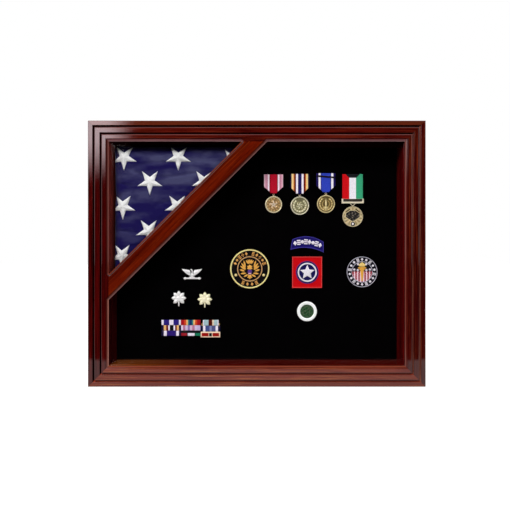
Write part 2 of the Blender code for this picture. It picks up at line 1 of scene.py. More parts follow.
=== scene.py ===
"""The looks of the folded flag display case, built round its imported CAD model.

Units are metres, +Z is up and the front looks along -Y. Flat pieces are drawn as a front view, x to the
right and z up, and their depth is v, the distance in front of the plane of the rails' backs. Every mesh
keeps its vertices in the model's own frame, so a material's object coordinates are places on the case. A
colour of three numbers is 8-bit sRGB.
"""

import json
import math

import bmesh
import bpy
import numpy as np
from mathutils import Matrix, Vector, noise
from mathutils.bvhtree import BVHTree

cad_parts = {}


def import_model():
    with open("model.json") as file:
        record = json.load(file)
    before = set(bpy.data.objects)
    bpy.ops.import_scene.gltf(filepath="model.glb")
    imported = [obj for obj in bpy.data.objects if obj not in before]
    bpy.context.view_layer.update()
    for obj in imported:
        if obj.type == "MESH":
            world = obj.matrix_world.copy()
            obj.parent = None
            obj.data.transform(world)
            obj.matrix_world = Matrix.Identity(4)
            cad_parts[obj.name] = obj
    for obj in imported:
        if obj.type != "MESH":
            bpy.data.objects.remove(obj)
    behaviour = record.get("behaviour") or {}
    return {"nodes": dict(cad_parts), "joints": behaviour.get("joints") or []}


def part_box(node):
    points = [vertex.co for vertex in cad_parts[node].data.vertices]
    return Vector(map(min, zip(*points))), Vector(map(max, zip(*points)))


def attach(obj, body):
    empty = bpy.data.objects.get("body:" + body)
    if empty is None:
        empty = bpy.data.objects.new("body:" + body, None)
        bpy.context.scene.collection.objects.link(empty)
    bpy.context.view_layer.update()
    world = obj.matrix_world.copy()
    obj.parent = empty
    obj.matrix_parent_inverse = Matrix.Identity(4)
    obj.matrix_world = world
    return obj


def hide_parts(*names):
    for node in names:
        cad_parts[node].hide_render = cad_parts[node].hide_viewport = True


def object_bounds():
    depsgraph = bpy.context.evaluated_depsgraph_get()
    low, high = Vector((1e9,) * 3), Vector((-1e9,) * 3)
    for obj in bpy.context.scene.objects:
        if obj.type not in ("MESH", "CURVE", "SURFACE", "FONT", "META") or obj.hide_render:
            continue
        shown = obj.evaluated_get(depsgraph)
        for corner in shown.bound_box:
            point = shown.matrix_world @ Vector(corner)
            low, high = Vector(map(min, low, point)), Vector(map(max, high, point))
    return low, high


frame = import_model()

CAD_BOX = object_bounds()

# ---- Driving dimensions ----------------------------------------------------------------------------------

RIGHT, BACKWARD, UP = Vector((1.0, 0.0, 0.0)), Vector((0.0, 1.0, 0.0)), Vector((0.0, 0.0, 1.0))
FULL_TURN = 2 * math.pi
NORTH = math.pi / 2
SQRT2 = math.sqrt(2)

LEFT_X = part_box("stile_left")[0].x
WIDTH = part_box("stile_right")[1].x - LEFT_X
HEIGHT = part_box("rail_top")[1].z
BACK_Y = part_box("rail_top")[1].y
DEPTH = BACK_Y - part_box("rail_top")[0].y
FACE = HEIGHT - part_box("rail_top")[0].z
FELT = BACK_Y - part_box("square_patch")[1].y  # the v that everything on the felt stands on
BAR_WIDTH = 0.0325
BAR_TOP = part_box("diagonal_face_bar")[1]
# s is the sum of the distances in from the left and top edges; it is constant along a 45 degree line
DIAGONAL_S = (BAR_TOP.x - LEFT_X) + (HEIGHT - BAR_TOP.z) - BAR_WIDTH / SQRT2
PARTITION_WIDTH = 0.012

# The moulding's section: three bands, each (start, end, front v), counted in from the outer edge
WALL = 0.018
LIP_BACK = 0.064
BANDS = ((0.0, 0.0083, 0.069), (0.0118, 0.0220, 0.0725), (0.0252, FACE, DEPTH))
QUIRK_DEPTH = 0.002
SHOULDERS = (0.001, 0.002, 0.002)
EASE = 0.0005
BEAD_WIDTH = 0.0052
BEAD_QUIRK = 0.0014
BEAD_FILLET = 0.0008
BEAD_LEDGE = 0.0003
BEAD_FLOOR = LIP_BACK + 0.0006
BEAD_TILTS = (8, 46)  # how far the bead leans from the front, in degrees, at the quirk and at the opening
BEAD_CORNER = 0.0005
FLAG_BEAD, MEDAL_BEAD, LIP_WALL = 2, 3, 4  # the numbers of their materials on a rail
MITRE_GAP = 0.00004


def depth_y(v):
    """World y of a point this far in front of the plane of the rails' backs."""
    return BACK_Y - v


class Box:
    """A CAD node's box at rest, with its middle and half sizes as the front shows them."""

    def __init__(self, node):
        self.node = node
        self.low, self.high = low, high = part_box(node)
        self.x, self.z = self.centre = (low.x + high.x) / 2, (low.z + high.z) / 2
        self.half_x, self.half_z = (high.x - low.x) / 2, (high.z - low.z) / 2

    def inside(self, x, z):
        """How far in a place is from the nearest side."""
        across = np.minimum(x - self.low.x, self.high.x - x)
        return np.minimum(across, np.minimum(z - self.low.z, self.high.z - z))


def pivot(body):
    """Where the joint of a moving body is."""
    return next(joint["pos_m"] for joint in frame["joints"] if joint["child"] == body)


# ---- Materials -------------------------------------------------------------------------------------------


def rgb(red, green, blue):
    """An 8-bit sRGB colour as the linear RGBA that nodes use."""
    shares = [c / 255 for c in (red, green, blue)]
    return [c / 12.92 if c <= 0.04045 else ((c + 0.055) / 1.055) ** 2.4 for c in shares] + [1.0]


class Graph:
    """The nodes of one material. Each call adds a node and gives the socket that it puts out."""

    def __init__(self, tree):
        self.tree = tree
        tree.nodes.clear()

    def node(self, kind, inputs=(), **settings):
        made = self.tree.nodes.new("ShaderNode" + kind)
        for name, value in settings.items():
            setattr(made, name, value)
        for key, value in dict(inputs).items():
            self.feed(made.inputs[key], value)
        return made

    def feed(self, socket, value):
        if isinstance(value, bpy.types.NodeSocket):
            self.tree.links.new(value, socket)
        else:
            socket.default_value = rgb(*value) if socket.type == "RGBA" and len(value) == 3 else value

    def math(self, operation, first, second=0.0):
        return self.node("Math", {0: first, 1: second}, operation=operation).outputs[0]

    def product(self, first, *others):
        for other in others:
            first = self.math("MULTIPLY", first, other)
        return first

    def place(self):
        """Object coordinates."""
        return self.node("TexCoord").outputs["Object"]

    def dot(self, vector, direction):
        """How far a vector reaches along a direction."""
        made = self.node("VectorMath", {0: vector, 1: direction}, operation="DOT_PRODUCT")
        return made.outputs["Value"]

    def stretch(self, vector, factors):
        return self.node("VectorMath", {0: vector, 1: factors}, operation="MULTIPLY").outputs[0]

    def noise(self, vector, scale=1.0, detail=2.0, roughness=0.5):
        inputs = {"Vector": vector, "Scale": scale, "Detail": detail, "Roughness": roughness}
        return self.node("TexNoise", inputs).outputs[0]

    def span(self, value, low, high, to_low=0.0, to_high=1.0, smooth=False):
        """A value moved from one range to another, and kept inside it."""
        inputs = {"Value": value, "From Min": low, "From Max": high, "To Min": to_low, "To Max": to_high}
        kind = "SMOOTHSTEP" if smooth else "LINEAR"
        return self.node("MapRange", inputs, interpolation_type=kind).outputs[0]

    def mix(self, factor, first, second, blend="MIX"):
        made = self.node("Mix", {0: factor, 6: first, 7: second}, data_type="RGBA", blend_type=blend)
        return made.outputs[2]

    def ramp(self, factor, stops, interpolation="LINEAR"):
        made = self.node("ValToRGB", {0: factor})
        made.color_ramp.interpolation = interpolation
        elements = made.color_ramp.elements
        elements.remove(elements[1])
        elements[0].position = stops[0][0]
        for position, _ in stops[1:]:
            elements.new(position)
        for element, (_, colour) in zip(elements, stops):
            element.color = rgb(*colour)
        return made.outputs[0]

    def bump(self, height, distance, strength=1.0):
        inputs = {"Height": height, "Distance": distance, "Strength": strength}
        return self.node("Bump", inputs).outputs[0]

    def put_out(self, shader, kind="Material"):
        self.tree.links.new(shader, self.node("Output" + kind).inputs["Surface"])

    def surface(self, colour, roughness, normal, **others):
        """A Principled surface; others are more of its inputs, named with _ for a space."""
        inputs = {"Base Color": colour, "Roughness": roughness, "Normal": normal}
        for name, value in others.items():
            inputs[name.replace("_", " ").title().replace("Ior", "IOR")] = value
        self.put_out(self.node("BsdfPrincipled", inputs).outputs[0])


def material(name):
    made = bpy.data.materials.new(name)
    made.use_nodes = True
    return made, Graph(made.node_tree)


def wood(name, along, dark, light, streak=None, painted_shading=None, coat=1.0):
    """Lacquered mahogany with its grain along a direction. streak is the colour of a few long bright fibres,
    and the last blend, (direction, where it starts, where it is full, colour), paints light and shade."""
    made, g = material("mahogany_" + name)
    place = g.place()
    grain = along.normalized()
    run, over, deep = (g.dot(place, way) for way in (grain, grain.cross(BACKWARD), BACKWARD))

    def fibres(length, width, detail):
        """Noise stretched along the grain, with streaks about this long and wide."""
        parts = {i: g.math("DIVIDE", way, size) for i, (way, size) in
                 enumerate(((run, length), (over, width), (deep, width)))}
        return g.noise(g.node("CombineXYZ", parts).outputs[0], 1.0, detail, 0.6)

    figure = fibres(0.16, 0.016, 2.0)
    streaks = fibres(0.045, 0.0028, 4.0)
    pores = g.span(fibres(0.006, 0.00045, 1.0), 0.60, 0.72)
    tone = g.math("ADD", g.product(figure, 0.5), g.product(streaks, 0.5))
    colour = g.ramp(g.span(tone, 0.36, 0.64), ((0.0, dark), (1.0, light)))
    # painted light and shade: a colour laid in along a direction
    if painted_shading:
        direction, start, full, painted_shading_colour = painted_shading
        colour = g.mix(g.span(g.dot(place, direction), start, full, 0.0, 0.8), colour, painted_shading_colour)
    if streak:
        colour = g.mix(g.span(fibres(0.09, 0.0011, 3.0), 0.54, 0.70), colour, streak)
    colour = g.mix(g.product(pores, 0.45), colour, (20, 2, 2))
    g.surface(colour, g.span(streaks, 0.3, 0.7, 0.30, 0.42), g.bump(pores, -0.00006), specular_ior_level=0.0,
              coat_weight=coat, coat_roughness=g.span(figure, 0.3, 0.7, 0.03, 0.07), coat_ior=1.5,
              coat_normal=g.bump(g.noise(place, 260.0, 2.0), 0.00002, 0.6))
    return made


def felt(name, colour, nap):
    """Short brushed fibres, nearly black, that catch a little light at a flat angle."""
    made, g = material(name)
    fibres = g.noise(g.place(), 2600.0, 3.0, 0.7)
    clouds = g.noise(g.place(), 28.0, 3.0)
    shade = g.product(g.span(fibres, 0.35, 0.7), g.span(clouds, 0.3, 0.7, 0.5, 1.0))
    g.surface(g.mix(shade, colour, nap), 1.0, g.bump(fibres, 0.0003, 0.8), specular_ior_level=0.0,
              sheen_weight=0.006, sheen_roughness=0.5)
    return made


def woven(name, colour, spacing, slant, shadow, bump, sheen=0.06):
    """Cloth with threads at this spacing, their ribs across a slant. colour may be a call that makes it."""
    made, g = material(name)
    place = g.place()
    base = colour(g, place) if callable(colour) else colour
    slant = Vector(slant).normalized()
    warp = g.math("SINE", g.product(g.dot(place, slant), FULL_TURN / spacing))
    weft = g.math("SINE", g.product(g.dot(place, slant.cross(BACKWARD)), FULL_TURN / (spacing * 0.8)))
    height = g.math("ADD", g.span(warp, -1.0, 1.0), g.product(g.span(weft, -1.0, 1.0), 0.6))
    height = g.math("ADD", height, g.product(g.noise(place, 1 / spacing, 3.0, 0.65), 0.7))
    dark = g.mix(1.0, base, [shadow, shadow, shadow, 1.0], "MULTIPLY")
    g.surface(g.mix(g.span(height, 0.5, 1.7), dark, base), 0.85, g.bump(height, bump, 0.7),
              specular_ior_level=0.12, sheen_weight=sheen, sheen_roughness=0.4)
    return made


def thread(name, colour, slant=(1.0, 0.0, 0.6)):
    return woven(name, colour, 0.0005, slant, 0.62, 0.00016, 0.1)


def striped(name, centre_x, width, stops, mirrored=True, extra=None):
    """Ribbon with lengthwise stripes. stops are (where the stripe ends, colour), counted from the edge to
    the middle if mirrored, or from left to right. extra(g, place, colour) may add to them."""
    def stripes(g, place):
        across = g.math("SUBTRACT", g.dot(place, RIGHT), centre_x)
        if mirrored:
            share = g.math("SUBTRACT", 1.0, g.math("DIVIDE", g.math("ABSOLUTE", across), width / 2))
        else:
            share = g.math("ADD", g.math("DIVIDE", across, width), 0.5)
        starts = [0.0] + [end for end, _ in stops[:-1]]
        colour = g.ramp(share, [(start, c) for start, (_, c) in zip(starts, stops)], "CONSTANT")
        worn = g.span(g.noise(place, 420.0, 3.0, 0.6), 0.35, 0.65, 0.0, 0.22)
        colour = g.mix(worn, colour, (140, 132, 140), "MULTIPLY")
        return extra(g, place, colour) if extra else colour

    return woven(name, stripes, 0.0007, UP, 0.88, 0.00016)


def metal(name, bright, dull, roughness, grime=0.5):
    """Plated metal, duller in patches and finely scratched."""
    made, g = material(name)
    place = g.place()
    patches = g.noise(place, 420.0, 4.0, 0.6)
    scratches = g.noise(g.stretch(place, (9000.0, 2500.0, 1500.0)), 1.0, 2.0)
    rough = g.math("ADD", g.span(patches, 0.3, 0.7, roughness, roughness + 0.14),
                   g.span(scratches, 0.45, 0.8, 0.0, 0.1))
    g.surface(g.mix(g.span(patches, 0.35, 0.7, 0.0, grime), bright, dull), rough,
              g.bump(scratches, 0.00001, 0.5), metallic=1.0)
    return made


def struck(name, front, depth, tones, gloss=0.26, metallic=0.6):
    """Metal dark in its hollows and polished where it stands out. front is the v of its highest places, its
    hollows are depth lower, and tones are the colours of its hollows, its body and its edges."""
    made, g = material(name)
    place = g.place()
    rise = g.span(g.dot(place, -BACKWARD), front - depth - BACK_Y, front - BACK_Y)
    specks = g.noise(place, 900.0, 3.0, 0.6)
    level = g.math("ADD", rise, g.span(specks, 0.3, 0.7, -0.08, 0.08))
    colour = g.ramp(level, list(zip((0.05, 0.45, 0.85), tones)))
    g.surface(colour, g.span(level, 0.0, 1.0, gloss + 0.3, gloss), g.bump(specks, 0.00002),
              metallic=metallic, specular_ior_level=0.5)
    return made


def plain(name, dark, light, scale, roughness, bump, coat=0.0, metallic=0.0, specular=0.5):
    """A surface mottled with two colours: rubber, enamel or paint."""
    made, g = material(name)
    mottle = g.noise(g.place(), scale, 4.0, 0.6)
    rough = g.span(mottle, 0.3, 0.7, roughness, roughness + 0.1)
    g.surface(g.mix(g.span(mottle, 0.35, 0.65), dark, light), rough, g.bump(mottle, bump),
              specular_ior_level=specular, metallic=metallic, coat_weight=coat, coat_roughness=0.05)
    return made


def hardboard():
    """Tempered hardboard: brown, with short darker and lighter fibres."""
    made, g = material("hardboard_brown")
    place = g.place()
    flakes = g.noise(g.stretch(place, (900.0, 900.0, 380.0)), 1.0, 5.0, 0.7)
    clouds = g.span(g.noise(place, 9.0, 3.0), 0.3, 0.7, 0.0, 0.35)
    browns = ((0.0, (58, 36, 22)), (0.55, (98, 66, 42)), (1.0, (146, 108, 74)))
    g.surface(g.mix(clouds, g.ramp(g.span(flakes, 0.3, 0.72), browns), (72, 46, 28)),
              g.span(flakes, 0.3, 0.7, 0.55, 0.8), g.bump(flakes, 0.00012), specular_ior_level=0.3)
    return made


def glass():
    """Clear picture glass: see-through, with a weak reflection that grows at a flat angle."""
    made, g = material("picture_glass")
    facing = g.node("LayerWeight", {"Blend": 0.25}).outputs["Fresnel"]
    smear = g.noise(g.place(), 14.0, 3.0)
    clear = g.node("BsdfTransparent", {"Color": (254, 253, 255)}).outputs[0]
    gloss = g.node("BsdfGlossy", {"Roughness": g.span(smear, 0.4, 0.7, 0.01, 0.04)}).outputs[0]
    g.put_out(g.node("MixShader", {0: g.product(facing, 0.10), 1: clear, 2: gloss}).outputs[0])
    return made


def flag_cotton():
    """Cotton bunting: greyer and deeper blue patches paint the light and shade of folds, and its lower left
    part is painted deeper blue as shade.
    """
    def blue(g, place):
        # painted light and shade of folds: soft patches, paler and deeper
        folds = g.noise(g.stretch(place, (14.0, 14.0, 34.0)), 1.0, 3.0, 0.55)
        # painted shade: deeper blue towards the lower left
        painted_shade_low_left = g.math("SUBTRACT", g.dot(place, (0.3, 0.0, 1.0)), HEIGHT + 0.3 * LEFT_X)
        deep = g.math("ADD", g.span(folds, 0.40, 0.62), g.span(painted_shade_low_left, -0.20, -0.05, 0.5, 0.0))
        return g.ramp(deep, ((0.0, (66, 68, 100)), (0.5, (44, 43, 82)), (1.0, (23, 18, 72))))

    return woven("flag_cotton_blue", blue, 0.0009, (1.0, 0.0, 0.2), 0.8, 0.00025)


# ---- Meshes and pieces -----------------------------------------------------------------------------------


SHARP_EDGE = 35  # the angle, in degrees, from which an edge is drawn as one


def helper(name, data):
    """A new object in the scene; unless it becomes a piece, it is only worked with and then removed."""
    obj = bpy.data.objects.new(name, data)
    bpy.context.scene.collection.objects.link(obj)
    return obj


def give_looks(mesh, looks):
    for look in looks if isinstance(looks, (list, tuple)) else [looks]:
        mesh.materials.append(look)


def piece(name, mesh, looks, node=None, sharp=SHARP_EDGE, body="case"):
    """A finished piece, standing for a CAD node if one is given. sharp is the angle that stays an edge."""
    obj = helper(name, mesh)
    if not mesh.materials:
        give_looks(mesh, looks)
    mesh.shade_smooth()
    mesh.set_sharp_from_angle(angle=math.radians(sharp))
    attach(obj, body)
    if node:
        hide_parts(node)
    return obj


def add_modifier(obj, kind, **settings):
    step = obj.modifiers.new(kind.lower(), kind)
    for name, value in settings.items():
        setattr(step, name, value)
    return step


def applied(obj):
    """The object's mesh with its modifiers, and the object itself removed."""
    graph = bpy.context.evaluated_depsgraph_get()
    mesh = bpy.data.meshes.new_from_object(obj.evaluated_get(graph))
    bpy.data.objects.remove(obj)
    return mesh


def modified(mesh, kind, **settings):
    """The mesh with one modifier applied."""
    obj = helper("work", mesh)
    add_modifier(obj, kind, **settings)
    return applied(obj)


def dress(node, look, bevel=0.0002):
    """A CAD node with a material of its own and eased edges."""
    obj = frame["nodes"][node]
    obj.data.materials.clear()
    obj.data.materials.append(look)
    if bevel:
        add_modifier(obj, "BEVEL", width=bevel, segments=2, limit_method="ANGLE",
                     angle_limit=math.radians(SHARP_EDGE))


def mesh_of(name, shape, mesh=None):
    """A bmesh written to a mesh, a new one if none is given, and freed."""
    mesh = mesh or bpy.data.meshes.new(name)
    shape.to_mesh(mesh)
    shape.free()
    return mesh


def cleaned(mesh, distance=1e-6):
    """The mesh with its doubled points merged and its faces pointing out."""
    shape = bmesh.new()
    shape.from_mesh(mesh)
    bmesh.ops.remove_doubles(shape, verts=shape.verts, dist=distance)
    bmesh.ops.dissolve_degenerate(shape, edges=shape.edges, dist=distance / 10)
    bmesh.ops.recalc_face_normals(shape, faces=shape.faces)
    return mesh_of(mesh.name, shape, mesh)


def from_lists(name, points, faces, zones=None):
    mesh = bpy.data.meshes.new(name)
    mesh.from_pydata([tuple(map(float, p)) for p in points], [], [tuple(map(int, f)) for f in faces])
    if zones is not None:
        mesh.polygons.foreach_set("material_index", list(map(int, zones)))
    return cleaned(mesh)


def joined(name, meshes):
    """Several meshes as one; each keeps its faces' material numbers."""
    shape = bmesh.new()
    for mesh in meshes:
        shape.from_mesh(mesh)
    return mesh_of(name, shape)


def sheet(name, place, height, steps, base, closed=False, zone=None):
    """A pad with a shaped front: place(s, t) gives its x and z, and height(x, z, s, t) its v, for s and t
    from 0 to 1. Closed means that s runs round and t from the middle to the edge. The back is flat, at
    v = base. zone(x, z, s, t) gives the material's number at the middle of a face."""
    columns, rows = steps
    s, t = np.meshgrid(np.linspace(0, 1, columns, endpoint=not closed), np.linspace(0, 1, rows))
    x, z = place(s, t)
    v = height(x, z, s, t)
    front = np.stack([x, depth_y(v), z], -1).reshape(-1, 3)
    back = front.copy()
    back[:, 1] = depth_y(base)
    index = np.arange(rows * columns).reshape(rows, columns)
    if closed:
        index = np.hstack([index, index[:, :1]])
        rim = index[-1]
    else:
        sides = (index[0, :-1], index[:-1, -1], index[-1, :0:-1], index[:0:-1, 0], index[:1, 0])
        rim = np.concatenate(sides)
    quads = np.stack([index[:-1, :-1], index[:-1, 1:], index[1:, 1:], index[1:, :-1]], -1).reshape(-1, 4)
    count = rows * columns
    walls = np.stack([rim[:-1], rim[1:], rim[1:] + count, rim[:-1] + count], -1)
    zones = None
    if zone:
        corner = front[quads].mean(1)
        share = np.stack([s, t], -1).reshape(-1, 2)[quads].mean(1)
        numbers = zone(corner[:, 0], corner[:, 2], share[:, 0], share[:, 1])
        zones = np.concatenate([numbers, np.zeros(len(quads) + len(walls))])
    faces = np.vstack([quads, quads[:, ::-1] + count, walls])
    return from_lists(name, np.vstack([front, back]), faces, zones)


def rectangle(x0, x1, z0, z1):
    """The place call of a sheet that fills a rectangle."""
    return lambda s, t: (x0 + (x1 - x0) * s, z0 + (z1 - z0) * t)


def round_place(centre, radius, spread=lambda t: t):
    """The place call of a closed sheet that fills a circle."""
    def place(s, t):
        reach = radius * spread(t)
        return centre[0] + reach * np.cos(FULL_TURN * s), centre[1] + reach * np.sin(FULL_TURN * s)
    return place


def rounding(inside, radius):
    """How far a rounded edge has dropped, this far in from it."""
    short = np.clip(radius - inside, 0, radius)
    return radius - np.sqrt(radius**2 - short**2)


def cord(share):
    """The height of a round border, 1 in its middle, for a share of 0 at one side and 1 at the other."""
    return np.sqrt(np.clip(1 - (2 * share - 1) ** 2, 0, 1))


def wave(values, sharpness=1.0):
    """Ridges from 0 to 1, one for each full turn of values."""
    return (0.5 + 0.5 * np.cos(values)) ** sharpness


def raised(name, shapes, base, edge, crown):
    """Small raised shapes as one mesh, with heights above the felt: each outline's rim stands at edge and
    its middle at crown. A shape is (its outline, the centre that it is seen whole from)."""
    points, faces, dome = [], [], crown - edge
    rings = ((1.0, base), (1.0, edge), (0.86, edge + 0.6 * dome), (0.5, edge + 0.92 * dome))
    for outline, (cx, cz) in shapes:
        first, count = len(points), len(outline)
        for scale, rise in rings:
            y = depth_y(FELT + rise)
            points += [(cx + (x - cx) * scale, y, cz + (z - cz) * scale) for x, z in outline]
        points.append((cx, depth_y(FELT + crown), cz))
        last = first + (len(rings) - 1) * count
        for i in range(count):
            j = (i + 1) % count
            for low in range(first, last, count):
                faces.append((low + i, low + j, low + count + j, low + count + i))
            faces.append((last + i, last + j, len(points) - 1))
        faces.append(tuple(first + i for i in range(count)))
    return from_lists(name, points, faces)


def turned(name, profile, centre, axis, steps, zones=None):
    """A profile of (radius, distance along the axis) points, turned about an axis through centre. It is
    closed by its ends lying on the axis, or by coming back to its start."""
    side = axis.orthogonal().normalized()
    other = axis.cross(side)
    count, points, faces, numbers = len(profile), [], [], []
    for i in range(steps):
        turn = FULL_TURN * i / steps
        spoke = side * math.cos(turn) + other * math.sin(turn)
        points += [Vector(centre) + axis * h + spoke * r for r, h in profile]
        a, b = i * count, (i + 1) % steps * count
        for j in range(count - 1):
            faces.append((a + j, a + j + 1, b + j + 1, b + j))
            numbers.append(zones[j] if zones else 0)
    return from_lists(name, points, faces, numbers)


def tube(name, centre, outer, bore, width, steps=20):
    """A short tube along X with slightly rounded ends."""
    half, soft = width / 2, min(width, outer - bore) * 0.2
    ends = [(bore, -half + soft), (bore + soft, -half), (outer - soft, -half), (outer, -half + soft)]
    profile = ends + [(r, -h) for r, h in reversed(ends)] + ends[:1]
    return turned(name, profile, centre, RIGHT, steps)


def wire(name, points, radius, closed=True, sides=10):
    """A round wire through these points."""
    curve = bpy.data.curves.new(name, "CURVE")
    curve.dimensions = "3D"
    curve.bevel_depth = radius
    curve.bevel_resolution = sides // 2 - 1
    curve.use_fill_caps = True
    spline = curve.splines.new("POLY")
    spline.points.add(len(points) - 1)
    for point, place in zip(spline.points, points):
        point.co = (*place, 1.0)
    spline.use_cyclic_u = closed
    return cleaned(applied(helper(name, curve)))


# ---- Outlines, and shapes, which are (outline, centre) ---------------------------------------------------


def polar(centre, radius, degrees):
    turn = math.radians(degrees)
    return centre[0] + radius * math.cos(turn), centre[1] + radius * math.sin(turn)


def arc(centre, radius, start, end, steps):
    """Points along an arc, from start to end in degrees."""
    return [polar(centre, radius, start + (end - start) * i / steps) for i in range(steps + 1)]


def turn_about(points, centre, angle):
    """Points drawn about the origin, turned and then moved to centre."""
    c, s = math.cos(angle), math.sin(angle)
    return [(centre[0] + x * c - z * s, centre[1] + x * s + z * c) for x, z in points]


def circle(centre, radius, steps=24):
    return arc(centre, radius, 0, 360 * (steps - 1) / steps, steps - 1), centre


def star(centre, radius, heading=NORTH, tips=5, waist=0.382):
    """A star with its first tip at heading."""
    corners = []
    for i in range(2 * tips):
        reach = radius if i % 2 == 0 else radius * waist
        turn = heading + math.pi * i / tips
        corners.append((centre[0] + reach * math.cos(turn), centre[1] + reach * math.sin(turn)))
    return corners, centre


def leaf(centre, length, width, heading, steps=7):
    """A pointed leaf, its middle at centre."""
    rise = [math.sin(math.pi * i / steps) ** 0.8 * width / 2 for i in range(steps + 1)]
    run = [(i / steps - 0.5) * length for i in range(steps + 1)]
    upper = list(zip(run, rise))
    lower = [(x, -z) for x, z in reversed(upper[1:-1])]
    return turn_about(upper + lower, centre, heading), centre


def bar(centre, length, width, heading=0.0):
    """A rectangle with cut corners, its length along heading."""
    a, b, c = length / 2, width / 2, min(length, width) * 0.22
    half = [(a - c, -b), (a, c - b), (a, b - c), (a - c, b)]
    return turn_about(half + [(-x, -z) for x, z in half], centre, heading), centre


def edge_normals(points):
    """The outward unit normal of the edge that leaves each point of a counterclockwise polygon."""
    pairs = zip(points, points[1:] + points[:1])
    return [Vector((b[1] - a[1], a[0] - b[0])).normalized() for a, b in pairs]


def grown(points, distance):
    """A convex counterclockwise polygon with each edge moved out by distance."""
    normals = edge_normals(points)
    result = []
    for i, point in enumerate(points):
        before, after = normals[i - 1], normals[i]
        result.append(tuple(Vector(point) + (before + after) * distance / (1 + before.dot(after))))
    return result


def rounded(points, radius, degrees_a_step=5):
    """A convex counterclockwise polygon with each corner an arc of this radius, apart from square ones."""
    normals = edge_normals(points)
    result = []
    for i, centre in enumerate(grown(points, -radius)):
        start, end = (math.degrees(math.atan2(side.y, side.x)) for side in (normals[i - 1], normals[i]))
        turn = (end - start) % 360
        if abs(turn - 90) < 0.1:
            result.append(tuple(points[i]))
        else:
            result += arc(centre, radius, start, start + turn, max(1, round(turn / degrees_a_step)))
    return result


def at(from_left, from_top):
    """(x, z) of a point this far in from the case's left and top edges."""
    return LEFT_X + from_left, HEIGHT - from_top


def flag_region(inset, s):
    """The triangle this far in from the left and top edges, and cut off along the diagonal s."""
    return [at(inset, inset), at(inset, s - inset), at(s - inset, inset)]


def medal_region(inset, s):
    """The five-sided region on the other side of the diagonal s, this far in from the case's edges."""
    return [at(s - inset, inset), at(inset, s - inset), at(inset, HEIGHT - inset),
            at(WIDTH - inset, HEIGHT - inset), at(WIDTH - inset, inset)]


# ---- Wooden frame ----------------------------------------------------------------------------------------


def rail_profile():
    """The moulding's section as (distance in from the outer edge, v), and whether a groove starts there."""
    points = [(0.0006, 0.0), (WALL - 0.0003, 0.0), (WALL, 0.0003), (WALL, LIP_BACK), (FACE, LIP_BACK)]
    grooves = [False] * len(points)
    for i in reversed(range(len(BANDS))):
        start, end, top = BANDS[i]
        radius = SHOULDERS[i]
        edge = [(end, top)] if i == 2 else arc((end - EASE, top - EASE), EASE, 0, 90, 4)
        shoulder = arc((start + radius, top - radius), radius, 90, 180, 10)
        points += edge + shoulder
        grooves += [False] * (len(edge) + len(shoulder) - 1) + [i > 0]
        if i:
            floor_v = BANDS[i - 1][2] - QUIRK_DEPTH
            points += [(start, floor_v), (BANDS[i - 1][1], floor_v)]
            grooves += [True, True]
    return points + [(0.0, 0.0006)], grooves + [False]


def rail(name, length, inward, outer):
    """A mitred length of moulding; inward is the way its face runs, outer the middle of its outer edge."""
    profile, grooves = rail_profile()
    run = inward.cross(-BACKWARD)
    points = []
    for side in (-1, 1):
        for reach, v in profile:
            half = length / 2 - reach - MITRE_GAP
            points.append(outer + inward * reach - BACKWARD * v + run * side * half)
    count = len(profile)
    faces = [(i, (i + 1) % count, (i + 1) % count + count, i + count) for i in range(count)]
    faces += [tuple(range(count)), tuple(range(count, 2 * count))]
    return from_lists(name, points, faces, grooves + [False, False])


def bead_path(opening, looks, zone):
    """The wood taken off round an opening: a quirk, and below it a bead, mitred at square corners."""
    top, start = DEPTH - BEAD_QUIRK, BEAD_WIDTH - BEAD_FILLET
    first, last = (math.radians(tilt) for tilt in BEAD_TILTS)
    curve = (start - BEAD_LEDGE) / (math.sin(last) - math.sin(first))
    levels = [(BEAD_WIDTH, DEPTH + 0.001), (BEAD_WIDTH, top)]
    for h, v in arc((0.0, 0.0), curve, 90 - BEAD_TILTS[0], 90 - BEAD_TILTS[1], 14):
        levels.append((start - h + curve * math.sin(first), top + v - curve * math.cos(first)))
    levels += [(BEAD_LEDGE, BEAD_FLOOR), (-0.001, BEAD_FLOOR)]
    shape = bmesh.new()
    rings = []
    for width, v in levels:
        outline = rounded(grown(opening, width), BEAD_CORNER + max(width, 0.0))
        rings.append([shape.verts.new((x, depth_y(v), z)) for x, z in outline])
    for number, (upper, lower) in enumerate(zip(rings, rings[1:])):
        for i in range(len(upper)):
            face = shape.faces.new((upper[i - 1], upper[i], lower[i], lower[i - 1]))
            if number > 1:
                face.material_index = LIP_WALL if number >= len(levels) - 3 else zone
    shape.faces.new(rings[0])
    shape.faces.new(rings[-1])
    bmesh.ops.recalc_face_normals(shape, faces=shape.faces)
    mesh = mesh_of("bead_path", shape)
    give_looks(mesh, looks)
    return helper("bead_path", mesh)


def diagonal_bar_mesh():
    """The face bar, a strip along the diagonal with a slightly eased joint at each end."""
    inset, ease = FACE + 0.0001, 0.0002
    low, high = DIAGONAL_S - BAR_WIDTH / SQRT2, DIAGONAL_S + BAR_WIDTH / SQRT2
    outline = [at(low - inset, inset), at(inset, low - inset)]
    outline += [at(inset, high - inset), at(high - inset, inset)]
    rings = [(outline, LIP_BACK), (outline, DEPTH - ease), (grown(outline, -ease), DEPTH)]
    points = [(x, depth_y(v), z) for ring, v in rings for x, z in ring]
    faces = [(0, 1, 2, 3), (8, 9, 10, 11)]
    for ring in (0, 4):
        for i in range(4):
            j = (i + 1) % 4
            faces.append((ring + i, ring + j, ring + 4 + j, ring + 4 + i))
    return from_lists("bar", points, faces)


def bead_wood_with_highlight(name, along, dark, light, edge, coat):
    """A bead's wood: dark beside its quirk, with a painted highlight where it turns down into the opening.
    """
    quirk = depth_y(DEPTH - BEAD_QUIRK)
    return wood(name, along, dark, light, None, (BACKWARD, quirk + 0.0005, quirk + 0.0013, edge), coat)


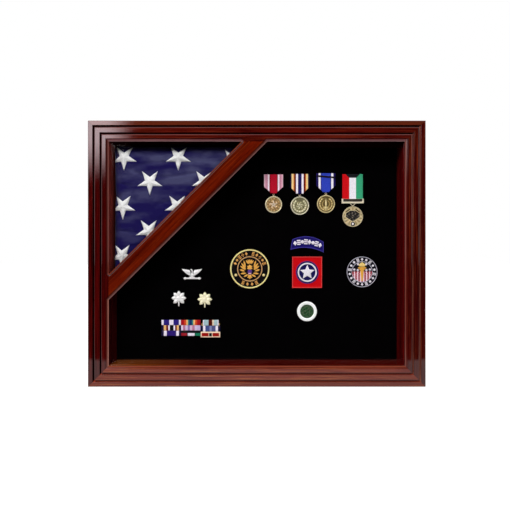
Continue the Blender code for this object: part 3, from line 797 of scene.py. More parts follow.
def woods():
    """The woods of the case by name: one mahogany, its reds on each side painted as the light and shade
    there.
    """
    slant = RIGHT + UP
    # painted reflection on the top rail's outer band, and painted shade on the bottom rail's
    outer_band_light_and_shade = (BACKWARD, depth_y(0.0715), depth_y(0.0695))
    # painted light on the left part of the bottom inner wall
    painted_light_left = (RIGHT, LEFT_X + 0.33 * WIDTH, LEFT_X + 0.08 * WIDTH, (128, 70, 22))
    # painted light on the left inner wall beside the flag
    painted_light_beside_flag = (UP, HEIGHT - DIAGONAL_S + 0.02, HEIGHT - DIAGONAL_S + 0.06, (134, 54, 46))
    lacquered = {  # the grain's direction, the dark, light and streak colours, the painted light and shade, and the coat
        # the faces: reds painted as light and shade, lightest on the bottom as a painted reflection of the
        # floor
        "top": (RIGHT, (44, 2, 1), (80, 14, 7), (98, 32, 14), (*outer_band_light_and_shade, (84, 34, 17))),
        "bottom": (RIGHT, (82, 15, 9), (116, 38, 20), (150, 80, 38), (*outer_band_light_and_shade, (96, 30, 16))),
        "left": (UP, (38, 0, 0), (68, 2, 2), (88, 14, 10)),
        "right": (UP, (38, 1, 1), (64, 4, 3), (106, 38, 15)),
        "bar": (slant, (60, 5, 0), (98, 20, 2), (110, 36, 5)),
        # the grooves: near black as painted shade, but lighter as painted light on the right and bottom
        # rails
        "groove": (RIGHT, (5, 0, 0), (12, 1, 1), None, None, 0.0),
        "groove_right": (UP, (78, 30, 22), (112, 56, 44), (150, 94, 74), None, 0.1),
        "groove_bottom": (RIGHT, (128, 42, 28), (158, 68, 46), None, None, 0.1),
        # the inner walls: painted shade on the top one, painted light on the bottom and right ones
        "inside_top": (RIGHT, (22, 1, 1), (44, 4, 3), None, None, 0.0),
        "inside_bottom": (RIGHT, (50, 2, 2), (88, 10, 6), (104, 30, 12), painted_light_left),
        "inside_left": (UP, (40, 4, 6), (70, 10, 12), None, painted_light_beside_flag, 0.0),
        "inside_right": (UP, (62, 3, 5), (100, 10, 10), None, None, 0.7),
        "inside_slanted": (slant, (40, 3, 2), (70, 10, 6), None, None, 0.3),
    }
    beads = {  # the grain's direction, the dark and light colours, the painted highlight's colour, and the coat
        # reds and edge highlights painted per bead as the light and reflections that fall on it
        "bead_top": (RIGHT, (84, 44, 46), (112, 70, 72), (156, 114, 116), 0.5),
        "bead_bottom": (RIGHT, (72, 18, 8), (102, 36, 16), (116, 52, 28), 0.3),
        "bead_left": (UP, (40, 6, 5), (62, 16, 12), (112, 52, 40), 0.5),
        "bead_left_low": (UP, (58, 20, 16), (86, 36, 28), (166, 110, 96), 0.5),
        "bead_right": (UP, (52, 8, 5), (80, 18, 12), (116, 64, 54), 0.5),
        "bead_bar": (slant, (40, 6, 1), (66, 16, 5), (112, 44, 22), 0.4),
        "bead_bar_low": (slant, (66, 26, 20), (92, 44, 36), (150, 104, 98), 0.4),
    }
    made = {name: wood(name, *look) for name, look in lacquered.items()}
    return made | {name: bead_wood_with_highlight(name, *look) for name, look in beads.items()}


def wooden_frame():
    look = woods()
    names_by_node = {  # the woods of the face, the grooves, the flag's and the medals' bead, the inner walls
        "rail_top": ("top", "groove", "bead_top", "bead_top", "inside_top"),
        "rail_bottom": ("bottom", "groove_bottom", "bead_bottom", "bead_bottom", "inside_bottom"),
        "stile_left": ("left", "groove", "bead_left", "bead_left_low", "inside_left"),
        "stile_right": ("right", "groove_right", "bead_right", "bead_right", "inside_right"),
        "diagonal_face_bar": ("bar", "groove", "bead_bar", "bead_bar_low", "inside_slanted"),
    }
    looks = {node: [look[name] for name in names] for node, names in names_by_node.items()}
    flag_side, medal_side = DIAGONAL_S - BAR_WIDTH / SQRT2, DIAGONAL_S + BAR_WIDTH / SQRT2
    paths = [bead_path(flag_region(FACE, flag_side), looks["rail_top"], FLAG_BEAD),
             bead_path(medal_region(FACE, medal_side), looks["rail_top"], MEDAL_BEAD)]
    back = Vector((LEFT_X + WIDTH / 2, BACK_Y, 0.0))
    half_width, mid_height = RIGHT * WIDTH / 2, back + UP * HEIGHT / 2
    blanks = (
        ("rail_top", rail("top", WIDTH, -UP, back + UP * HEIGHT), paths),
        ("rail_bottom", rail("bottom", WIDTH, UP, back), paths[1:]),
        ("stile_left", rail("left", HEIGHT, RIGHT, mid_height - half_width), paths),
        ("stile_right", rail("right", HEIGHT, -RIGHT, mid_height + half_width), paths[1:]),
        ("diagonal_face_bar", diagonal_bar_mesh(), paths),
    )
    for node, mesh, cutters in blanks:
        give_looks(mesh, looks[node])
        blank = helper(node, mesh)
        for cutter in cutters:
            add_modifier(blank, "BOOLEAN", object=cutter, solver="EXACT")
        obj = piece(f"{node}_moulded", applied(blank), looks[node], node, 32)
        add_modifier(obj, "WEIGHTED_NORMAL", keep_sharp=True)
    for path in paths:
        bpy.data.objects.remove(path)
    for side in ("top", "bottom", "left", "right"):
        dress(f"liner_{side}", look[f"inside_{side}"])
    dress("diagonal_partition", look["inside_slanted"])


# ---- Flag ------------------------------------------------------------------------------------------------


class FlagSpace:
    """The three-cornered space that the folded flag may fill."""

    low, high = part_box("folded_flag")
    left, top = low.x, high.z
    cut_s = DIAGONAL_S - PARTITION_WIDTH / SQRT2 - 0.0021  # with a small gap beside the partition
    back_v, front_v = BACK_Y - high.y, BACK_Y - low.y
    puff = 0.006

    @classmethod
    def depth_inside(cls, x, z):
        """How far a place is inside the nearest of the three edges."""
        s = (x - LEFT_X) + (HEIGHT - z)
        return np.minimum(np.minimum(x - cls.left, cls.top - z), (cls.cut_s - s) / SQRT2)

    @classmethod
    def kept_inside(cls, points, margin):
        """Points moved back over any edge that they crossed."""
        x, y, z = points.T.copy()
        x = np.maximum(x, cls.left + margin)
        z = np.minimum(z, cls.top - margin)
        over = np.maximum((x - LEFT_X) + (HEIGHT - z) - cls.cut_s + margin * SQRT2, 0)
        x, z = x - over / 2, z + over / 2
        y = np.clip(y, depth_y(cls.front_v + cls.puff), depth_y(cls.back_v))
        return np.stack([x, y, z], -1)

    @classmethod
    def filled(cls, points):
        """Points moved into the square corner and scaled until they reach the diagonal."""
        x, y, z = points.T.copy()
        right, down = x - x.min(), z.max() - z
        scale = (cls.cut_s - (cls.left - LEFT_X) - (HEIGHT - cls.top)) / (right + down).max()
        return np.stack([cls.left + right * scale, y, cls.top - down * scale], -1)


def coordinates(mesh):
    flat = np.empty(len(mesh.vertices) * 3)
    mesh.vertices.foreach_get("co", flat)
    return flat.reshape(-1, 3)


def set_coordinates(mesh, points):
    mesh.vertices.foreach_set("co", points.astype(np.float32).ravel())
    mesh.update()


def inflated(mesh, cap):
    """The mesh blown up as cloth, with no point moved further than cap."""
    obj = helper("cloth", mesh)
    start = coordinates(mesh)
    settings = add_modifier(obj, "CLOTH").settings
    settings.quality = 5
    settings.mass = 0.25
    settings.tension_stiffness = 12
    settings.compression_stiffness = 8
    settings.bending_stiffness = 0.4
    settings.use_pressure = True
    settings.uniform_pressure_force = 4
    settings.effector_weights.gravity = 0
    for step in range(1, 21):
        bpy.context.scene.frame_set(step)
    blown = applied(obj)
    bpy.context.scene.frame_set(1)
    moved = coordinates(blown) - start
    moved[:, [0, 2]] *= 0.15  # the case keeps the edges of the flag where they are
    reach = np.linalg.norm(moved, axis=1, keepdims=True)
    set_coordinates(blown, start + moved * np.minimum(1, cap / np.maximum(reach, 1e-9)))
    return blown


def wrinkle(x, z):
    """How far the folded cotton stands out here: low swells, finer crumples and a few soft creases."""
    swell = noise.noise(Vector((x * 11, z * 26, 0.3)))
    crumple = noise.noise(Vector((x * 42, z * 85, 4.1)))
    crease = abs(noise.noise(Vector((x * 9 + z * 5, z * 34, 9.7))))
    return 0.0011 * swell + 0.0003 * crumple - 0.0012 * max(0.0, 0.16 - crease) / 0.16


FLAG_VOXEL = 0.004
CLOTH_CAP = 0.006  # how far the cloth may swell
FOLD_LAYER = 0.0043  # the thickness of one layer of the folds
FOLD_DEPTH = 0.0012


def folded_flag():
    """The padded triangle of the folded flag, with the layers of its folds along its edges."""
    space = FlagSpace
    shape = bmesh.new()
    shape.from_mesh(frame["nodes"]["folded_flag"].data)
    bmesh.ops.remove_doubles(shape, verts=shape.verts, dist=1e-6)
    mesh = modified(mesh_of("flag", shape), "REMESH", mode="VOXEL", voxel_size=FLAG_VOXEL)
    mesh = inflated(mesh, CLOTH_CAP)
    set_coordinates(mesh, space.kept_inside(space.filled(coordinates(mesh)), 0.0004))
    mesh = modified(mesh, "SUBSURF", levels=1, render_levels=1)
    points = coordinates(mesh)
    inside = space.depth_inside(points[:, 0], points[:, 2])
    v = depth_y(points[:, 1])
    grooves = np.abs(np.sin(math.pi * v / FOLD_LAYER)) ** 0.5
    edge = np.clip(1 - inside / 0.004, 0, 1) * (1 - grooves) * FOLD_DEPTH
    out = points[:, [0, 2]] - points[:, [0, 2]].mean(0)
    out /= np.linalg.norm(out, axis=1, keepdims=True)
    points[:, 0] -= out[:, 0] * edge
    points[:, 2] -= out[:, 1] * edge
    front = np.clip((v - 0.030) / 0.012, 0, 1) * np.clip(inside / 0.012, 0.15, 1)
    points[:, 1] -= front * np.array([wrinkle(x, z) for x, _, z in points])
    set_coordinates(mesh, space.kept_inside(points, 0.0002))
    cleaned(mesh)
    piece("folded_flag_cotton", mesh, flag_cotton(), "folded_flag", 70)
    return mesh


def star_fans(shape, ridge):
    """Staggered rows of flat stars, one point down, each a fan round its middle, whose ridge value is 1."""
    first_x, first_z = at(0.0596, 0.0623)
    pitch, row_drop, shift, drift, radius = 0.0977, 0.0441, 0.0475, -0.0010, 0.0242
    last_of_row = (0, 2)  # this one lies a little lower than its row
    for row in range(5):
        for column in range(3):
            x = first_x + column * pitch + (row % 2) * shift + row * drift
            z = first_z - row * row_drop - (0.0045 if (row, column) == last_of_row else 0.0)
            if FlagSpace.depth_inside(np.array(x), np.array(z)) < -0.012:
                continue
            middle_point = shape.verts.new((x, 0.0, z))
            middle_point[ridge] = 1.0
            rim = [shape.verts.new((px, 0.0, pz)) for px, pz in star((x, z), radius, -NORTH)[0]]
            for a, b in zip(rim, rim[1:] + rim[:1]):
                shape.faces.new((middle_point, a, b))


def flag_stars(flag):
    """Embroidered stars laid on the cotton and ridged along their arms, cut off at the flag's edges."""
    space = FlagSpace
    surface = BVHTree.FromPolygons([v.co for v in flag.vertices], [p.vertices for p in flag.polygons])
    shape = bmesh.new()
    ridge = shape.verts.layers.float.new("ridge")
    star_fans(shape, ridge)
    margin, slanted_margin = 0.0012, 0.0017
    for point, normal in ((at(space.left - LEFT_X + margin, 0), (-1, 0, 0)),
                          (at(0, HEIGHT - space.top + margin), (0, 0, 1)),
                          (at(space.cut_s - slanted_margin, 0), (1, 0, -1))):
        bmesh.ops.bisect_plane(shape, geom=shape.verts[:] + shape.edges[:] + shape.faces[:],
                               plane_co=(point[0], 0.0, point[1]), plane_no=normal, clear_outer=True)
    bmesh.ops.subdivide_edges(shape, edges=shape.edges, cuts=9, use_grid_fill=True)
    bmesh.ops.triangulate(shape, faces=shape.faces)
    rim = {v for e in shape.edges if e.is_boundary for v in e.verts}
    for vertex in shape.verts:
        hit = surface.ray_cast(Vector((vertex.co.x, -1.0, vertex.co.z)), BACKWARD)[0]
        floor_y = hit.y if hit else depth_y(space.front_v - 0.007)
        pucker = 0.0005 * noise.noise(vertex.co * 420.0)
        rise = 0.0001 if vertex in rim else 0.0006 + 0.0032 * vertex[ridge] ** 0.8 + pucker
        vertex.co.y = floor_y - rise
    bmesh.ops.recalc_face_normals(shape, faces=shape.faces)
    if sum(face.normal.y for face in shape.faces) > 0:
        bmesh.ops.reverse_faces(shape, faces=shape.faces)
    white = woven("star_thread", (248, 253, 244), 0.0013, (1.0, 0.0, 0.7), 0.72, 0.0007)
    obj = piece("flag_stars", mesh_of("stars", shape), white, None, 60)
    add_modifier(obj, "SOLIDIFY", thickness=0.0009, offset=-1)


# ---- Medals ----------------------------------------------------------------------------------------------

RELIEF = 0.0012  # how deep the field of a medal lies below its rim
MEDAL_RIM = 0.0023
MEDAL_THICKNESS = 0.0024
KNOB_WIDTH = 0.0014  # along the pin that a medal swings on
STRIPED_WIDTH = 0.0355  # the width that a ribbon's stripes are counted over
MEDAL_RIBBONS = (  # name, striped width, width of its tip, and stripes as (where each ends, colour)
    ("ribbon_red_white", STRIPED_WIDTH, 0.012, (
        (0.10, (244, 206, 214)), (0.26, (226, 160, 178)), (0.38, (190, 130, 148)), (0.56, (255, 236, 240)),
        (0.66, (128, 8, 24)), (1.0, (186, 22, 44)))),
    ("ribbon_navy_gold", STRIPED_WIDTH, 0.014, (
        (0.14, (20, 16, 52)), (0.34, (255, 226, 150)), (0.43, (216, 116, 40)), (0.60, (92, 10, 16)),
        (0.81, (255, 250, 255)), (1.0, (32, 26, 88)))),
    ("ribbon_blue_white", STRIPED_WIDTH, 0.012, (
        (0.22, (34, 26, 92)), (0.45, (255, 255, 255)), (0.52, (20, 18, 84)), (1.0, (50, 72, 190)))),
    ("ribbon_red_white_green", 0.038, 0.0, (
        (0.33, (216, 18, 26)), (0.66, (255, 255, 255)), (1.0, (60, 176, 124)))),
)


def ribbon_mesh(name, x, top, tip, tip_width, half, thickness=0.0023):
    """A ribbon that hangs straight and folds in to a narrow tip; if tip_width is 0, it stays straight."""
    narrow = tip_width / 2
    levels = [tip, tip + 0.0035, tip + 0.012, top] if narrow else [tip, top]
    halves = [narrow, narrow + 0.002, half, half] if narrow else [half, half]

    def place(s, t):
        z = tip + t * (top - tip)
        return x + (s - 0.5) * 2 * np.interp(z, levels, halves), z

    def height(px, pz, s, t):
        side = np.interp(pz, levels, halves) - np.abs(px - x)
        inside = np.minimum(side, np.minimum(top - pz, pz - tip))
        fold = 0.00035 * np.clip(1 - side / 0.004, 0, 1) * (pz < levels[-2]) if narrow else 0.0
        swell = 0.00012 * np.sin((pz - tip) * 260 + np.sin((px - x) * 190))
        return FELT + thickness - 0.0005 - rounding(inside, 0.0009) + fold + swell

    return sheet(name, place, height, (57, 61), FELT)


def black_trapezoid(g, place, colour):
    """The black piece let in at the head of the fourth ribbon, narrower at its foot."""
    box = Box("medal_ribbon_4")
    drop = g.math("SUBTRACT", box.high.z, g.dot(place, UP))
    across = g.math("ABSOLUTE", g.math("SUBTRACT", g.dot(place, RIGHT), box.x))
    edge = g.math("ADD", across, drop)
    inside = g.product(g.math("LESS_THAN", edge, 0.0135), g.math("LESS_THAN", drop, 0.0068))
    return g.mix(inside, colour, (26, 28, 32))


def star_inside(r, turn, radius, tips=5, waist=0.42):
    """How far inside a star each place is, as a share of its radius."""
    part = np.abs((turn - NORTH + math.pi / tips) % (FULL_TURN / tips) - math.pi / tips) / (math.pi / tips)
    edge = radius / (1 + part * (1 / waist - 1))
    return np.clip((edge - r) / radius, 0, 1)


def sunburst(r, turn, radius):
    """Rays round a star with a boss, for the first medal."""
    rays = 0.0006 * wave(turn * 13) * np.clip(r / radius * 2.2 - 1.0, 0, 1) * (r < radius * 0.78)
    pointed = 0.0011 * np.minimum(1, 3.5 * star_inside(r, turn, radius * 0.56))
    eyes = 0.0007 * wave(turn * 5 + math.pi) * np.clip(1 - np.abs(r / radius - 0.42) / 0.14, 0, 1)
    return 0.0002 + np.maximum(np.maximum(rays, pointed), eyes)


def wreath(r, turn, start, width, head=2.55):
    """Two branches of leaves that rise from the foot and stay open at the head."""
    side = np.abs((turn + NORTH + math.pi) % FULL_TURN - math.pi)
    off_middle = np.abs(r - start - width / 2)
    leaves = wave(side * 16 - off_middle / width * 5, 0.7)
    across = np.clip(1 - off_middle / (width / 2), 0, 1) ** 0.5
    return (0.0003 + 0.0005 * leaves) * across * (side < head)


def rosette(r, turn, radius):
    """A wreath round a rosette, for the second medal."""
    curls = 0.0008 * wave(turn * 6 + r / radius * 14, 0.8) * np.clip(1.3 - r / (radius * 0.36), 0, 1) ** 0.5
    return 0.0002 + curls * (r < radius * 0.45) + wreath(r, turn, radius * 0.50, radius * 0.28)


def flame(r, turn, radius):
    """An upright flame on a bowl between two branches, for the third medal."""
    x, z = r * np.cos(turn), r * np.sin(turn)
    share = np.clip((z + radius * 0.30) / (radius * 0.95), 0, 1)
    half = radius * 0.12 * np.sin(math.pi * share**0.7) ** 0.8
    across = np.clip(1 - np.abs(x) / np.maximum(half, 1e-5), 0, 1)
    tongue = 0.0012 * across ** 0.5 * (share > 0) * (share < 1)
    bowl = 0.0009 * np.clip(1 - np.hypot(x, (z + radius * 0.42) * 1.8) / (radius * 0.34), 0, 1) ** 0.4
    inner = 0.0005 * np.clip(1 - np.abs(r / radius - 0.40) / 0.07, 0, 1) * (np.abs(x) > radius * 0.16)
    branches = wreath(r, turn, radius * 0.57, radius * 0.22, 2.7)
    return 0.0002 + np.maximum(np.maximum(tongue, bowl), np.maximum(inner, branches))


def shield_reach(x, z, radius):
    """1 on the outline of the fourth medal's eight-sided middle, and less inside it."""
    across, up = np.abs(x) / (radius * 0.70), np.abs(z - radius * 0.13) / (radius * 0.47)
    low_up = np.where(z < radius * 0.13, up * 0.78, up)
    return np.maximum(np.maximum(across, low_up), (across + up) / 1.38)


def petals(r, turn, radius):
    """Pointed leaves and two slots round a sunk eight-sided middle, for the fourth medal."""
    x, z = r * np.cos(turn), r * np.sin(turn)
    reach = shield_reach(x, z, radius)
    outer = (0.0004 + 0.0005 * wave(turn * 14, 0.6)) * np.clip((reach - 1) / 0.1, 0, 1)
    slot = (np.abs(r / radius - 0.73) < 0.07) * (np.abs(np.abs(turn - NORTH) - 0.72) < 0.34)
    edge = 0.0011 * np.clip(1 - np.abs(reach - 1.02) / 0.09, 0, 1) ** 0.5
    crag = np.sin(x / radius * 16 + 1.5 * np.sin(z / radius * 11)) * np.sin(z / radius * 14 + x / radius * 5)
    return np.maximum(outer * (1 - slot), edge) + (0.0003 + 0.0004 * crag) * (reach < 0.9)


def medal_front(number):
    """The v of a medal's highest places."""
    low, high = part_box(f"medal_disc_{number}")
    return BACK_Y - (low.y + high.y) / 2 + 0.0012


def medal_disc(number, relief, looks, zone):
    """A struck disc with its knob, which replaces the plain one and swings with it."""
    body, box = f"medal_{number}", Box(f"medal_disc_{number}")
    radius, front_v, axis_y = box.half_x, medal_front(number), pivot(body)[1]
    x, z = box.x, box.low.z + radius

    def height(px, pz, s, t):
        r = t * radius
        rim = RELIEF * cord(np.clip((r - radius + MEDAL_RIM) / MEDAL_RIM, 0, 1))
        return front_v - RELIEF + rim + relief(r, FULL_TURN * s, radius) * (r < radius - MEDAL_RIM)

    def zones(px, pz, s, t):
        return zone(np.hypot(px - x, pz - z) / radius, px - x, pz - z)

    back_v = front_v - MEDAL_THICKNESS
    disc = sheet(box.node, round_place((x, z), radius), height, (300, 80), back_v, True, zones)
    knob_radius, wall, sunk = 0.0011 if number < 4 else 0.0013, 0.0004, 0.0003
    knob_place = (x, axis_y, z + radius + knob_radius - sunk)
    knob = tube("knob", knob_place, knob_radius, knob_radius - wall, KNOB_WIDTH)
    cone = [(0.0, -0.0006), (0.0011, -0.0006), (0.0007, 0.0006), (0.0, 0.0006)]
    neck = turned("neck", cone, (x, axis_y, z + radius), UP, 16)
    mesh = joined(box.node, [disc, knob, neck])
    piece(f"{box.node}_struck", mesh, looks, box.node, SHARP_EDGE, body)


def medal_discs():
    rim_tones = (
        ((104, 90, 44), (210, 196, 130), (250, 246, 200)), ((66, 64, 38), (176, 176, 124), (250, 250, 214)),
        ((54, 42, 14), (170, 150, 82), (240, 228, 164)), ((58, 52, 24), (188, 170, 112), (240, 230, 180)))
    rims = [struck(f"medal_{i}_rim", medal_front(i), RELIEF, tones) for i, tones in enumerate(rim_tones, 1)]
    copper = struck("medal_copper", medal_front(1), RELIEF, ((92, 68, 34), (202, 170, 106), (255, 240, 208)))
    dark = struck("medal_dark_field", medal_front(4), RELIEF, ((14, 14, 12), (70, 70, 62), (250, 230, 196)))
    medal_disc(1, sunburst, [rims[0], copper], lambda share, x, z: share < 0.78)
    medal_disc(2, rosette, [rims[1]], lambda share, x, z: share * 0)
    medal_disc(3, flame, [rims[2]], lambda share, x, z: share * 0)
    medal_disc(4, petals, [rims[3], dark], lambda share, x, z: shield_reach(x, z, 0.0191) < 0.94)


def medal_ribbons():
    for number, (name, width, tip_width, stops) in enumerate(MEDAL_RIBBONS, 1):
        box = Box(f"medal_ribbon_{number}")
        look = striped(name, box.x, width, stops, bool(tip_width), None if tip_width else black_trapezoid)
        axis = pivot(f"medal_{number}")
        tip = axis[2] + 0.0008 if tip_width else box.low.z
        parts = [ribbon_mesh(box.node, box.x, box.high.z, tip, tip_width, box.half_x)]
        if tip_width:
            parts.append(tube("loop", axis, 0.0011, 0.0007, KNOB_WIDTH))
        piece(f"{box.node}_woven", joined(box.node, parts), look, box.node, 60)
    clasp = plain("ribbon_clasp_dark", (10, 4, 8), (26, 12, 16), 600.0, 0.6, 0.00005, specular=0.2)
    box = Box("medal_ribbon_3")
    strip = bar((box.x, box.high.z - 0.0066), box.high.x - box.low.x - 0.0012, 0.0030, math.radians(-5))
    piece("medal_ribbon_3_clasp", raised("clasp", [strip], 0.0014, 0.0028, 0.0029), clasp, None)


def medal_rings():
    gold = metal("medal_gold", (252, 240, 196), (190, 168, 116), 0.30, 0.35)
    for number in (1, 2, 3):
        body, box = f"medal_{number}", Box(f"medal_ring_{number}")
        points = [(x, pivot(body)[1], z) for x, z in circle(box.centre, 0.0017, 28)[0]]
        piece(f"{box.node}_wire", wire("ring", points, 0.0004), gold, box.node, 60, body)


def channel_bar():
    """The open-topped bar at the foot of the fourth ribbon, and the link below it."""
    box = Box("medal_bar_4")
    cream = plain("medal_bar_cream", (236, 226, 180), (255, 252, 224), 700.0, 0.3, 0.00003, metallic=0.35)
    # painted shade: the sunk slot of the bar is coloured nearly black
    slot_shade = plain("medal_bar_slot_shade", (14, 12, 8), (46, 42, 26), 900.0, 0.4, 0.00003)

    def slot(x, z, s, t):
        sides = np.minimum(x - box.low.x, box.high.x - x) > 0.0028
        return sides & (z > box.low.z + 0.0032) & (z < box.high.z - 0.0003)

    def height(x, z, s, t):
        return BACK_Y - box.low.y - rounding(box.inside(x, z), 0.0005) - 0.0011 * slot(x, z, s, t)

    place = rectangle(box.low.x, box.high.x, box.low.z, box.high.z)
    mesh = sheet("channel_bar", place, height, (160, 40), BACK_Y - box.high.y, False, slot)
    piece("medal_bar_4_channel", mesh, [cream, slot_shade], box.node, 40)
    dress("medal_ring_4", cream, 0.0)


def medal_stone():
    """The small stone near the foot of the fourth medal, in its black setting."""
    box = Box("medal_disc_4")
    top = medal_front(4) - FELT
    spot = (box.x, box.low.z + box.half_x - box.half_x * 0.72)
    heights = (top - RELIEF - 0.0003, top - 0.0001, top + 0.0001)
    setting = raised("setting", [circle(spot, 0.0041, 28)], *heights)
    jet = plain("medal_setting_black", (8, 7, 6), (26, 22, 18), 800.0, 0.3, 0.00003)
    piece("medal_4_setting", setting, jet, None, 50, "medal_4")
    pearl = plain("pearl_enamel", (240, 240, 236), (255, 255, 255), 300.0, 0.15, 0.0, coat=0.6)
    oval = turn_about([(1.25 * x, z) for x, z in circle((0.0, 0.0), 0.0019, 24)[0]], spot, NORTH)
    stone = raised("stone", [(oval, spot)], top, top + 0.0003, top + 0.0012)
    piece("medal_4_stone", stone, pearl, None, 60, "medal_4")


# ---- Patches ---------------------------------------------------------------------------------------------

PATCH_FIELD, PATCH_CORD = 0.0009, 0.0007  # the height of the twill, and of the cord round it above that
ON_DISC = (0.0009, 0.0016, 0.0022)  # heights of stitching on the square patch's disc
SHIELD_HEIGHTS = (0.0012, 0.0020, 0.0023)


def round_patch(box, field, border, border_width, zone=None, extra=()):
    """A twill disc with an overlocked border, its stitches running over the edge."""
    x, z, radius = box.x, box.z, box.half_x

    def height(px, pz, s, t):
        across = np.clip((np.hypot(px - x, pz - z) - radius + border_width) / border_width, 0, 1)
        stitches = 0.00012 * wave(s * FULL_TURN * 150)
        return FELT + PATCH_FIELD + cord(across) * (0.0008 + stitches) - 0.0007 * (across >= 1)

    def zones(px, pz, s, t):
        inner = zone(px - x, pz - z) if zone else 0
        return np.where(np.hypot(px - x, pz - z) > radius - border_width, 1, inner)

    fine_edge = round_place(box.centre, radius, lambda t: np.sin(t * NORTH))
    mesh = sheet(box.node, fine_edge, height, (600, 34), FELT, True, zones)
    piece(f"{box.node}_twill", mesh, [field, border, *extra], box.node, 60)


def emblem(name, shapes, look, heights=(0.0009, 0.0013, 0.0020)):
    """Raised stitching on a patch."""
    piece(name, raised(name, shapes, *heights), look, None, 50)


def ring_shapes(centre, radius, width, parts=40):
    """A stitched ring as short overlapping bars."""
    length = FULL_TURN * radius / parts * 1.25
    return [bar(polar(centre, radius, 360 * i / parts), length, width, FULL_TURN * i / parts + NORTH)
            for i in range(parts)]


def mark(kind, spot, tall, wide, lean):
    """One plain mark, upright when lean is 0: a lozenge, a disc, three cross bars or four dots."""
    def placed(x, z):
        return turn_about([(x, z)], spot, lean)[0]

    a, b = wide / 2, tall / 2
    if kind == 0:
        return [(turn_about([(a, 0), (0, b), (-a, 0), (0, -b)], spot, lean), spot)]
    if kind == 1:
        return [circle(spot, a * 0.92, 14)]
    if kind == 2:
        return [bar(placed(0, z), wide, tall * 0.24, lean) for z in (-b * 0.72, 0, b * 0.72)]
    dots = ((0, b * 0.62), (0, -b * 0.62), (a * 0.62, 0), (-a * 0.62, 0))
    return [circle(placed(*dot), a * 0.42, 10) for dot in dots]


def marks_along(centre, radius, first, last, count, size, kinds):
    """Plain marks of several kinds on an arc, in place of words. size is (tall, wide)."""
    shapes = []
    for i in range(count):
        degrees = first + (last - first) * i / max(1, count - 1)
        lean = math.radians(degrees) - NORTH
        shapes += mark(kinds[i % len(kinds)], polar(centre, radius, degrees), *size, lean)
    return shapes


def gold_patch():
    """The round patch with a golden border, ring and wreath, and marks on its black field."""
    box = Box("gold_round_patch")
    x, z = centre = box.centre
    field, border = thread("gold_patch_field", (10, 8, 8)), thread("gold_patch_border", (255, 244, 158), UP)
    round_patch(box, field, border, 0.0027)
    marks = []
    for first, last, count, size, kinds in ((160, 103, 5, (0.0074, 0.0050), (0, 1, 2, 3)),
                                            (77, 20, 5, (0.0074, 0.0050), (2, 0, 3, 1)),
                                            (244, 296, 4, (0.0070, 0.0052), (2, 0, 0, 2))):
        marks += marks_along(centre, 0.0286, first, last, count, size, kinds)
    wreath_shapes = []
    leaves = ((24, 0.0125, 0.0150, 0.0034), (44, 0.0132, 0.0135, 0.0032), (8, 0.0128, 0.0130, 0.0034),
              (-12, 0.0142, 0.0105, 0.0036), (-36, 0.0145, 0.0110, 0.0036), (-60, 0.0146, 0.0095, 0.0034))
    for side in (-1, 1):
        for degrees, reach, long, wide in leaves:
            spot = polar(centre, reach, degrees if side > 0 else 180 - degrees)
            lean = math.radians(degrees + 30)
            wreath_shapes.append(leaf(spot, long, wide, lean if side > 0 else math.pi - lean))
    for degrees in (58, 74, 90, 106, 122):
        spot = polar((x, z + 0.0050), 0.0088, degrees)
        wreath_shapes.append(leaf(spot, 0.0090, 0.0030, math.radians(degrees)))
    wreath_shapes.append(star((x, z - 0.0146), 0.0052, -NORTH, 5, 0.6))
    wreath_shapes.append(star((x, z + 0.0026), 0.0056, NORTH, 6, 0.7))
    dots = [circle(polar(centre, 0.0283, degrees), 0.0026, 12) for degrees in (204, 336)]
    for name, shapes, colour in (("inner_ring", ring_shapes(centre, 0.0225, 0.0020, 60), (216, 172, 112)),
                                 ("marks", marks, (236, 176, 92)), ("dots", dots, (255, 236, 160)),
                                 ("wreath", wreath_shapes, (246, 186, 84))):
        emblem(f"gold_patch_{name}", shapes, thread(f"gold_patch_{name}", colour))
    shield = star((x, z - 0.0050), 0.0044, NORTH, 6, 0.86)
    foot = bar((x, z - 0.0050 - 0.0036), 0.0056, 0.0026)
    emblem("gold_patch_shield", [shield], thread("gold_patch_shield", (96, 60, 140)), SHIELD_HEIGHTS)
    emblem("gold_patch_shield_foot", [foot], thread("gold_patch_shield_foot", (236, 186, 196)),
           (*SHIELD_HEIGHTS[:2], 0.0024))


